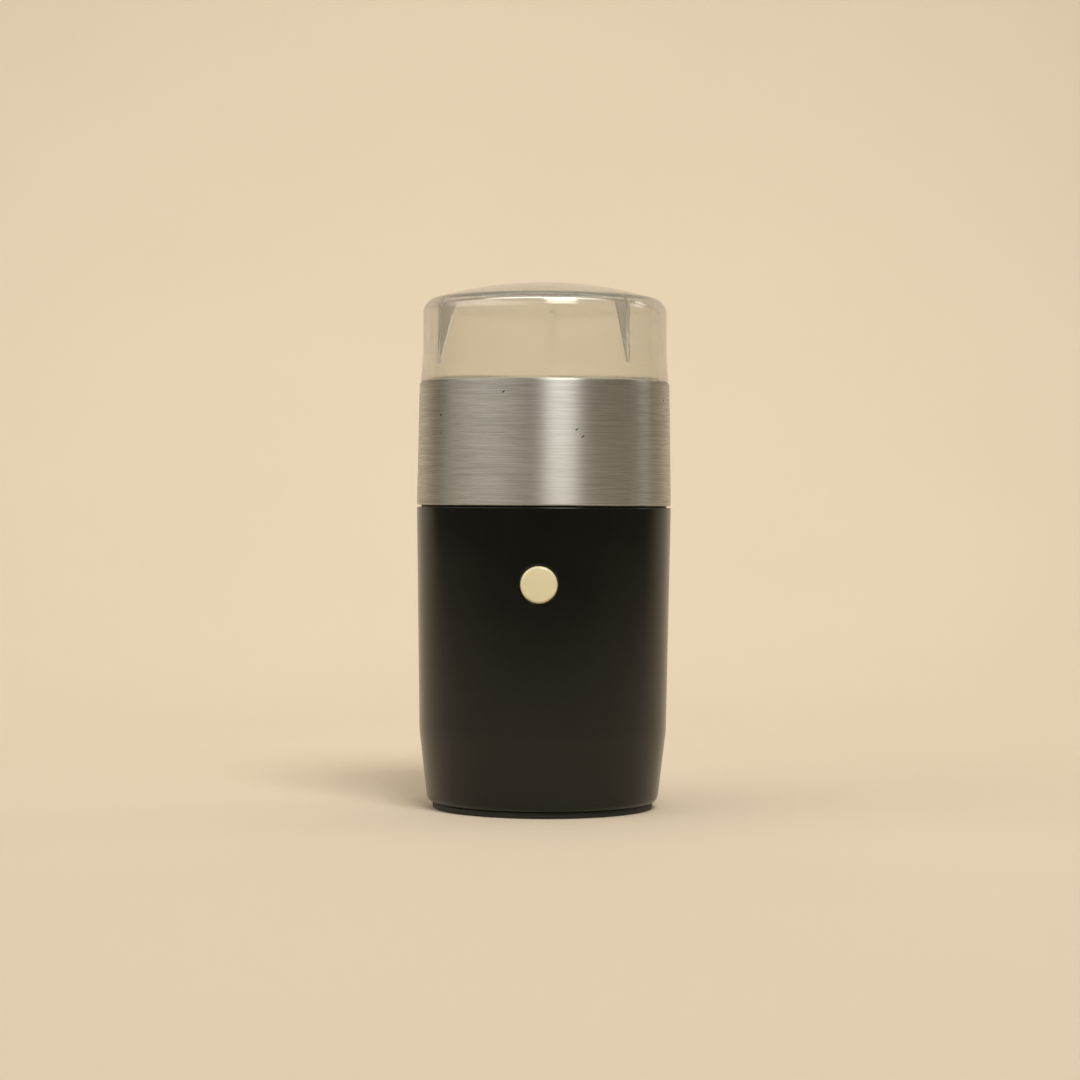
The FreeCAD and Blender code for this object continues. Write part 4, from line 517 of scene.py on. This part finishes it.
def buildHousing():
    h = housing
    top = housingHigh.z
    bottom = housingLow.z
    slope = (widest - h["kneeRadius"]) / (top - h["kneeHeight"])
    ledgeRadius = h["kneeRadius"] + slope * (h["ledge"] - h["kneeHeight"]) - h["wall"]
    rise = (h["floorTop"] - bottom) / (h["kneeHeight"] - bottom)
    low = h["baseRadius"] + (h["kneeRadius"] - h["baseRadius"]) * rise
    path = roundPath([
        (0, bottom), (h["grooveIn"], bottom),
        (h["grooveIn"], h["grooveTop"]), (h["grooveOut"], h["grooveTop"]),
        (h["grooveOut"], bottom), (h["baseRadius"], bottom, h["baseRound"]),
        (h["kneeRadius"], h["kneeHeight"], h["kneeRound"]), (widest, top, h["topRound"]),
        (h["rebate"], top, h["rebateRound"]), (h["rebate"], h["ledge"]), (ledgeRadius, h["ledge"]),
        (h["kneeRadius"] - h["wall"], h["kneeHeight"]), (low - h["wall"], h["floorTop"]), (0, h["floorTop"]),
    ], degreesPerStep=6)
    reach = h["rowGap"] * h["rowsEachSide"]
    heights = (h["buttonHeight"], h["inletHeight"])
    spans = [((height - reach) * mm, (height + reach) * mm) for height in heights]
    for span in spans:
        path = fillRows(path, *span, h["rowGap"] * mm)
    mesh = bmesh.new()
    # column 0 is at +X, the back a quarter of the way round, the front three quarters
    quarter = h["columns"] // 4
    rings = spinRings(mesh, path, evenAngles(h["columns"]))
    crest = max(range(len(path)), key=lambda i: path[i].y)
    outerPath, innerPath = path[:crest + 1], path[crest:]
    skips = set()
    columns = h["columnsEachSide"]
    openings = []
    for span, middle in zip(spans, (3 * quarter, quarter)):
        pair = []
        for part, offset in ((outerPath, 0), (innerPath, crest)):
            loop, skip = gridOpening(part, rings[offset:offset + len(part)], span, middle, columns)
            skips |= {(row + offset, column) for row, column in skip}
            pair.append({"loop": loop, "path": part})
        # the inner loop runs the other way, so each outer vertex is given the nearest inner one
        matched = []
        for vertex in pair[0]["loop"]:
            spoke = math.atan2(vertex.co.y, vertex.co.x)
            matched.append(min(pair[1]["loop"], key=lambda v: (v.co.z - vertex.co.z) ** 2
                               + (math.atan2(v.co.y, v.co.x) - spoke) ** 2 * h["turnWeight"]))
        pair[1]["loop"] = matched
        openings.append(pair)
    joinRings(mesh, rings, True, skips)
    hole = h["buttonHole"]
    rim = (hole + h["holeRound"]) * mm
    pierceWall(mesh, *openings[0], -1, h["buttonHeight"] * mm,
               [(rim, ("outer", t), 0) for t in h["buttonFront"]] + roundedEdge(hole, h["holeRound"], 5)
               + [(hole * mm, "inner", 0)] + [(rim, ("inner", t), 0) for t in h["buttonBack"]])
    recess, neck, face = h["inletRecess"] * mm, h["inletNeck"] * mm, h["inletFace"] * mm
    rim = (h["inletRecess"] + h["holeRound"]) * mm
    behind = (h["inletRecess"] + h["neckBehind"]) * mm
    neckEnd = (h["inletFace"] - h["neckLength"]) * mm
    pierceWall(mesh, *openings[1], 1, h["inletHeight"] * mm,
               [(rim, ("outer", t), 0) for t in h["inletFront"]]
               + roundedEdge(h["inletRecess"], h["holeRound"], 3)
               + [(recess, face, 0), (neck, face, 0), (neck, neckEnd, 0), (behind, neckEnd, 0),
                  (behind, "inner", 0)])
    piece = makePiece("housing_shell", mesh, h["sharp"])
    cutter = bmesh.new()
    half = h["ventWidth"] / 2
    for vent in range(h["vents"]):
        turn = math.radians(h["ventTurn"] + 360 * vent / h["vents"])
        outline = [(h["ventIn"], -half), (h["ventOut"], -half)]
        outline += [(h["ventOut"] + half * math.cos(a), half * math.sin(a))
                    for a in [math.radians(-90 + 22.5 * step) for step in range(1, 8)]]
        outline += [(h["ventOut"], half), (h["ventIn"], half)]
        faces = []
        for z in (bottom - h["cutterExtra"], h["floorTop"] + h["cutterExtra"]):
            faces.append([cutter.verts.new(((x * math.cos(turn) - y * math.sin(turn)) * mm,
                                            (x * math.sin(turn) + y * math.cos(turn)) * mm, z * mm))
                          for x, y in outline])
        cutter.faces.new(faces[0])
        cutter.faces.new(faces[1])
        for k in range(len(outline)):
            after = (k + 1) % len(outline)
            cutter.faces.new((faces[0][k], faces[0][after], faces[1][after], faces[1][k]))
    vents = makePiece("vent_cutter", cutter)
    modifier = piece.modifiers.new("vents", "BOOLEAN")
    modifier.operation = "DIFFERENCE"
    modifier.solver = "EXACT"
    modifier.object = vents
    shaped = bpy.data.meshes.new_from_object(piece.evaluated_get(bpy.context.evaluated_depsgraph_get()))
    piece.modifiers.clear()
    piece.data = shaped
    shaped.name = "housing_shell"
    shaped.set_sharp_from_angle(angle=math.radians(h["sharp"]))
    bpy.data.objects.remove(vents)
    dress(piece, "base_unit", "black_plastic", finishes["black_plastic"], "housing")


buildHousing()
print("housing built")


# foot ring

foot = {"inner": 30.0, "innerRound": 0.4, "round": 0.5, "tongueIn": 31.25, "tongueOut": 32.75}


def buildFoot():
    f = foot
    seat = housingLow.z
    path = roundPath([
        (f["inner"], 0, f["innerRound"]), (footHigh.x, 0, f["round"]),
        (footHigh.x, seat), (f["tongueOut"], seat),
        (f["tongueOut"], footHigh.z), (f["tongueIn"], footHigh.z), (f["tongueIn"], seat), (f["inner"], seat),
    ])
    dress(spun("foot_rubber", path), "base_unit", "black_rubber", finishes["black_rubber"], "foot_ring")


buildFoot()


# bowl

bowl = {"wall": 1.2, "baseRound": 0.55, "rimRadius": 39.3, "rimRound": 0.7, "rimInner": 0.3,
        "floorCorner": 6.0, "hole": 9.1, "holeRound": 0.3, "columns": 256}


def buildBowl():
    b = bowl
    low, high = bowlLow.z, bowlHigh.z
    lean = (widest - b["rimRadius"]) / (high - low)
    floor = low + b["wall"]
    path = roundPath([
        (b["hole"], low), (widest, low, b["baseRound"]), (b["rimRadius"], high, b["rimRound"]),
        (b["rimRadius"] - b["wall"], high, b["rimInner"]),
        (widest - lean * b["wall"] - b["wall"], floor, b["floorCorner"]), (b["hole"], floor, b["holeRound"]),
    ], degreesPerStep=6)
    dress(spun("bowl_steel", path, b["columns"]), "base_unit", "brushed_bowl", finishes["brushed_bowl"],
          "grinding_bowl")


buildBowl()
print("bowl and foot built")


# lid

lid = {
    "baseRadius": 39.0, "radius": 38.35, "flareHeight": 13.4, "corner": 5.0, "innerCorner": 3.0,
    "domeRadius": 125.0, "wall": 2.1, "topWall": 2.2, "spigotOuter": 37.9, "spigotWall": 1.3,
    "spigotRound": 0.3, "mouthChamfer": 0.2, "shoulder": 133.6, "shoulderRound": 0.25, "shoulderStep": 0.02,
    "columns": 240, "wallRows": 6, "sharp": 38,
    # degrees from +X; the one at the back gets no painted shade and stays clear
    "baffles": (88, 212, 315), "clearBaffle": 88,
    "baffleHalf": 0.7, "baffleDepth": 5.0, "baffleFoot": 137.5, "baffleNose": 0.22, "baffleRoot": 0.03,
    "baffleSpace": 1.6,   # degrees beside a baffle that stay free of other columns
}


def arcPoints(centre, radius, start, stop, steps):
    turns = [start + (stop - start) * step / steps for step in range(steps + 1)]
    return [Vector((centre[0] + radius * math.cos(a), centre[1] + radius * math.sin(a))) for a in turns]


def lidPaths():
    # outer and inner half profiles in mm, from the middle of the dome down to the mouth, and the first
    # and last row of the inner one that a baffle touches
    g = lid
    rows = g["wallRows"]
    sphere = lidHigh.z - g["domeRadius"]
    cornerX = g["radius"] - g["corner"]
    cornerZ = sphere + math.sqrt((g["domeRadius"] - g["corner"]) ** 2 - cornerX ** 2)
    tilt = math.atan2(cornerZ - sphere, cornerX)
    outer = arcPoints((0, sphere), g["domeRadius"], math.pi / 2, tilt, 30)
    outer += arcPoints((cornerX, cornerZ), g["corner"], tilt, 0, 16)[1:]
    flareTop = g["shoulder"] + g["flareHeight"]
    outer += [Vector((g["radius"], cornerZ + (flareTop - cornerZ) * k / rows)) for k in range(1, rows + 1)]
    flare = g["baseRadius"] - g["radius"]
    flareRadius = (flare ** 2 + g["flareHeight"] ** 2) / (2 * flare)
    swing = math.asin(g["flareHeight"] / flareRadius)
    outer += arcPoints((g["radius"] + flareRadius, flareTop), flareRadius, math.pi, math.pi + swing, 12)[1:-1]
    edge = g["shoulderRound"]
    outer += [Vector((g["baseRadius"] - g["shoulderStep"], g["shoulder"] + edge))]
    outer += arcPoints((g["baseRadius"] - edge, g["shoulder"] + edge), edge, 0, -math.pi / 2, 5)[1:]
    foot = g["spigotRound"]
    outer += [Vector((g["spigotOuter"], g["shoulder"])), Vector((g["spigotOuter"], lidLow.z + foot))]
    outer += arcPoints((g["spigotOuter"] - foot, lidLow.z + foot), foot, 0, -math.pi / 2, 4)[1:]
    inside = g["radius"] - g["wall"]
    innerDome = g["domeRadius"] - g["topWall"]
    innerX = inside - g["innerCorner"]
    innerZ = sphere + math.sqrt((innerDome - g["innerCorner"]) ** 2 - innerX ** 2)
    tilt = math.atan2(innerZ - sphere, innerX)
    tip = inside - g["baffleDepth"]
    tipTilt = math.acos(tip / innerDome)
    inner = arcPoints((0, sphere), innerDome, math.pi / 2, tipTilt, 24)
    first = len(inner) - 1
    inner += arcPoints((0, sphere), innerDome, tipTilt, tilt, 5)[1:]
    inner += arcPoints((innerX, innerZ), g["innerCorner"], tilt, 0, 10)[1:]
    inner += [Vector((inside, innerZ + (flareTop - innerZ) * k / rows)) for k in range(1, rows + 1)]
    spigotInner = g["spigotOuter"] - g["spigotWall"]
    inner += [Vector((inside + (spigotInner - inside) * k / rows,
                      flareTop + (g["baffleFoot"] - flareTop) * k / rows)) for k in range(1, rows + 1)]
    last = len(inner) - 1
    chamfer = g["mouthChamfer"]
    inner += [Vector((spigotInner, g["shoulder"])), Vector((spigotInner, lidLow.z + chamfer)),
              Vector((spigotInner + chamfer, lidLow.z))]
    return outer, inner, first, last


def buildLid():
    g = lid
    outer, inner, first, last = lidPaths()
    half = math.asin(g["baffleHalf"] / (g["radius"] - g["wall"]))
    middles = [math.radians(b) for b in g["baffles"]]
    space = math.radians(g["baffleSpace"])
    angles = [a for a in evenAngles(g["columns"]) if all(abs(a - m) > space for m in middles)]
    angles += [m + side * half for m in middles for side in (-1, 1)]
    angles.sort()
    mesh = bmesh.new()
    path = [p * mm for p in outer] + [p * mm for p in reversed(inner)]
    rings = spinRings(mesh, path, angles)
    innerRings = rings[len(outer):][::-1]
    skips = set()
    # half of a baffle's tip: (share of the way to its side, depth behind the tip), both in roundings; the
    # last point holds the side flat behind the rounding
    tipCorner = [(math.sin(a), 1 - math.cos(a)) for a in [math.radians(30 * step) for step in range(4)]]
    tipCorner.append((1, 2))
    for turn, middle in zip(g["baffles"], middles):
        # baffles other than the clear one take the darker copy of the SAN: painted shade
        tint = int(turn != g["clearBaffle"])
        column = min(range(len(angles)), key=lambda c: abs(angles[c] - (middle - half)))
        lengths = [0.0]
        for row in range(first, last):
            # the rings hold the inner profile from its end, so its rows count back from the last ring
            skips.add((len(path) - 2 - row, column))
            lengths.append(lengths[-1] + (inner[row + 1] - inner[row]).length)
        along = Vector((math.cos(middle), math.sin(middle), 0))
        across = Vector((-math.sin(middle), math.cos(middle), 0))
        noses = {}
        for row in range(first + 1, last):
            share = lengths[row - first] / lengths[-1]
            base = inner[first].lerp(inner[last], share)
            lateral = inner[row].x * math.sin(half)
            taper = min(1.0, (row - first) / 2, (last - row) / 2)
            rounding = g["baffleNose"] * taper
            root = inner[row].x * math.cos(half) - g["baffleRoot"]
            corner = [(lateral - rounding * (1 - out), min(base.x + rounding * deep, root))
                      for out, deep in tipCorner]
            noses[row] = [mesh.verts.new((along * radius + across * side + Vector((0, 0, base.y))) * mm)
                          for side, radius in [(-x, r) for x, r in reversed(corner)] + corner]
        left = [innerRings[row][column] for row in range(first, last + 1)]
        right = [innerRings[row][column + 1] for row in range(first, last + 1)]
        for row in range(first + 1, last - 1):
            one, two = noses[row], noses[row + 1]
            for k in range(len(one) - 1):
                mesh.faces.new((one[k], one[k + 1], two[k + 1], two[k])).material_index = tint
        for row in range(first, last):
            a, b = row - first, row - first + 1
            for wall, end in ((left, 0), (right, -1)):
                corners = [wall[a], wall[b]]
                if row + 1 < last:
                    corners.append(noses[row + 1][end])
                if row > first:
                    corners.append(noses[row][end])
                mesh.faces.new(corners).material_index = tint
        mesh.faces.new([left[0]] + noses[first + 1] + [right[0]])
        mesh.faces.new([left[-1]] + noses[last - 1] + [right[-1]])
    joinRings(mesh, rings, True, skips)
    piece = makePiece("lid_clear", mesh, g["sharp"])
    # clearing the slots resets each face's material, so they are set again after it
    finish = [polygon.material_index for polygon in piece.data.polygons]
    dress(piece, "cap", "clear_plastic", finishes["clear_plastic"], "lid")
    # the second slot is the darker copy of the SAN, with painted shade for the baffles
    piece.data.materials.append(shadedBaffleSan)
    piece.data.polygons.foreach_set("material_index", finish)


buildLid()
print("lid built")


# button

button = {"height": 71.2, "radius": 5.65, "edge": 0.95, "crown": 0.12, "collar": 7.2, "collarFace": 36.15,
          "collarRound": 0.15, "collarThickness": 1.0, "stem": 1.5, "stemRound": 0.98, "crownRings": 6,
          "columns": 96, "sharp": 50}


def buildButton():
    b = button
    face = -buttonLow.y
    tip = -buttonHigh.y
    back = b["collarFace"] - b["collarThickness"]
    path = roundPath([
        (0, tip), (b["stem"], tip, b["stem"] * b["stemRound"]), (b["stem"], back),
        (b["collar"], back, b["collarRound"]), (b["collar"], b["collarFace"], b["collarRound"]),
        (b["radius"], b["collarFace"]), (b["radius"], face - b["crown"], b["edge"]), (0, face - b["crown"]),
    ], degreesPerStep=7)
    # the last point gives way to a slight crown
    path.pop()
    last = path[-1]
    for ring in range(1, b["crownRings"] + 1):
        out = 1 - ring / b["crownRings"]
        path.append(Vector((last.x * out, last.y + b["crown"] * mm * (1 - out ** 2))))
    mesh = bmesh.new()
    joinRings(mesh, spinRings(mesh, path, evenAngles(b["columns"])), False)
    for vertex in mesh.verts:
        x, y, z = vertex.co
        vertex.co = (x, -z, y + b["height"] * mm)
    dress(makePiece("button_cap", mesh, b["sharp"]), "push_button", "cream_plastic",
          finishes["cream_plastic"], "button")


buildButton()


# spring

spring = {"radius": 2.8, "wire": 0.25, "turns": 3, "steps": 32, "sides": 12,
          "pressed": 0.38, "anchorBehind": 0.15}   # share of its length left when pressed, and mm behind it


def buildSpring():
    # behind the button's collar
    c = spring
    low, high = boxMm("button_spring")
    front, back = low.y + c["wire"], high.y - c["wire"]
    mesh = bmesh.new()
    rings = []
    last = c["turns"] * c["steps"]
    for step in range(last + 1):
        turn = 2 * math.pi * step / c["steps"]
        outward = Vector((math.cos(turn), 0, math.sin(turn)))
        centre = outward * c["radius"] + Vector((0, back + (front - back) * step / last, button["height"]))
        section = [outward * math.cos(a) + Vector((0, math.sin(a), 0)) for a in evenAngles(c["sides"])]
        rings.append([mesh.verts.new((centre + spoke * c["wire"]) * mm) for spoke in section])
    joinRings(mesh, rings, False)
    mesh.faces.new(rings[0])
    mesh.faces.new(rings[-1])
    piece = makePiece("button_coil", mesh)
    dress(piece, "base_unit", "spring_steel", finishes["spring_steel"], "button_spring")
    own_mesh(piece)


buildSpring()
print("button and spring built")


# stage, lamps, room and camera

# metres; the room's light rises between two heights, which are sines of the angle above the horizon
stage = {"light": "DBCDBA", "dark": "D6C8B5", "cloudMm": 260, "backWall": 1.15, "bend": 0.75,
         "bendSteps": 12, "halfWidth": 1.7, "front": -0.5, "wallTop": 2.6,
         "room": "D8CCB6", "roomHeights": (0.1, 0.8), "roomStrengths": (0.14, 0.5)}


def sweepMaterial():
    # seamless paper, matte, with a faint cloudiness of its fibres
    material, tree, shader, place = newMaterial("seamlessPaper", {"Roughness": 0.9, "IOR": 1.4})
    fibre = addNode(tree, "ShaderNodeTexNoise", {"Scale": 1.0, "Detail": 2.0},
                    {"Vector": patternPlace(tree, place, (stage["cloudMm"],) * 3)}).outputs["Fac"]
    paper = addNode(tree, "ShaderNodeMix", {"data_type": "RGBA", 6: hexColour(stage["light"]),
                                            7: hexColour(stage["dark"])}, {0: fibre})
    tree.links.new(paper.outputs[2], shader.inputs["Base Color"])
    return material


def buildStage():
    s = stage
    bendFrom = s["backWall"] - s["bend"]
    line = [(s["front"], 0.0), (0.0, 0.0), (bendFrom, 0.0)]
    for step in range(1, s["bendSteps"] + 1):
        a = math.radians(90 * step / s["bendSteps"])
        line.append((bendFrom + s["bend"] * math.sin(a), s["bend"] * (1 - math.cos(a))))
    line.append((s["backWall"], s["wallTop"]))
    mesh = bmesh.new()
    rows = [[mesh.verts.new((x, y, z)) for x in (-s["halfWidth"], 0, s["halfWidth"])] for y, z in line]
    for one, two in zip(rows, rows[1:]):
        for k in range(2):
            mesh.faces.new((one[k], one[k + 1], two[k + 1], two[k]))
    sheet = makePiece("paper_sweep", mesh)
    sheet.data.materials.append(sweepMaterial())


# gridded boxes, so that little light falls on the floor far in front
# azimuth in degrees to the right of the front, seen from the object's middle; distance and size in metres
objectMiddle = (0, 0, 0.08)
lampColour = (1.0, 0.97, 0.89)
lamps = {
    "softbox": {"azimuth": 21, "elevation": 52, "distance": 2.0, "size": (0.85, 0.8), "power": 5.8,
                "spread": 80, "target": objectMiddle},
    "side": {"azimuth": 115, "elevation": 30, "distance": 1.9, "size": (0.3, 0.5), "power": 0.33,
             "spread": 80, "target": objectMiddle},
    "left": {"azimuth": -60, "elevation": 34, "distance": 1.7, "size": (3.2, 0.6), "power": 5.0,
             "spread": 100, "target": objectMiddle},
    "background": {"azimuth": 180, "elevation": 72, "distance": 1.6, "size": (1.6, 0.6), "power": 6.4,
                   "spread": 120, "target": (0, 1.15, 0.5)},
}


def buildLamps():
    for name, l in lamps.items():
        data = bpy.data.lights.new(name, "AREA")
        data.shape = "RECTANGLE"
        data.size, data.size_y = l["size"]
        data.energy = l["power"]
        data.color = lampColour
        data.spread = math.radians(l["spread"])
        lamp = bpy.data.objects.new(name, data)
        scene.collection.objects.link(lamp)
        a, e = math.radians(l["azimuth"]), math.radians(l["elevation"])
        reach = l["distance"] * math.cos(e)
        height = objectMiddle[2] + l["distance"] * math.sin(e)
        place = Vector((reach * math.sin(a), -reach * math.cos(a), height))
        lamp.location = place
        lamp.rotation_euler = (Vector(l["target"]) - place).to_track_quat("-Z", "Y").to_euler()


def buildRoom():
    # pale ceiling, dim walls
    world = bpy.data.worlds.new("room")
    world.use_nodes = True
    scene.world = world
    tree = world.node_tree
    background = next(n for n in tree.nodes if n.type == "BACKGROUND")
    background.inputs["Color"].default_value = hexColour(stage["room"])
    direction = addNode(tree, "ShaderNodeTexCoord").outputs["Generated"]
    up = addNode(tree, "ShaderNodeSeparateXYZ", None, {0: direction}).outputs[2]
    low, high = stage["roomHeights"]
    dim, pale = stage["roomStrengths"]
    glow = addNode(tree, "ShaderNodeMapRange",
                   {"From Min": low, "From Max": high, "To Min": dim, "To Max": pale}, {"Value": up})
    tree.links.new(glow.outputs[0], background.inputs["Strength"])


# metres and degrees, focal length and sensor in mm; axisX is the pixel column of the object's axis
camera = {"distance": 0.860, "turn": 2.0, "height": 0.0954, "focal": 90.9, "sensor": 36.0,
          "pitch": -0.746, "roll": -0.32, "axisX": 543.7, "frameWidth": 1080, "clipStart": 0.01}


def buildCamera():
    c = camera
    data = bpy.data.cameras.new("camera")
    data.lens = c["focal"]
    data.sensor_width = c["sensor"]
    data.sensor_fit = "HORIZONTAL"
    eye = bpy.data.objects.new("camera", data)
    scene.collection.objects.link(eye)
    turn = math.radians(c["turn"])
    eye.location = (c["distance"] * math.sin(turn), -c["distance"] * math.cos(turn), c["height"])
    yaw = turn + math.atan((c["axisX"] - c["frameWidth"] / 2) / (c["focal"] / c["sensor"] * c["frameWidth"]))
    eye.rotation_euler = (math.radians(90 + c["pitch"]), 0, yaw)
    eye.rotation_euler.rotate_axis("Z", math.radians(-c["roll"]))
    data.clip_start = c["clipStart"]
    scene.camera = eye


buildStage()
buildLamps()
buildRoom()
buildCamera()
scene.view_settings.view_transform = "Standard"
print("stage, lamps and camera set")
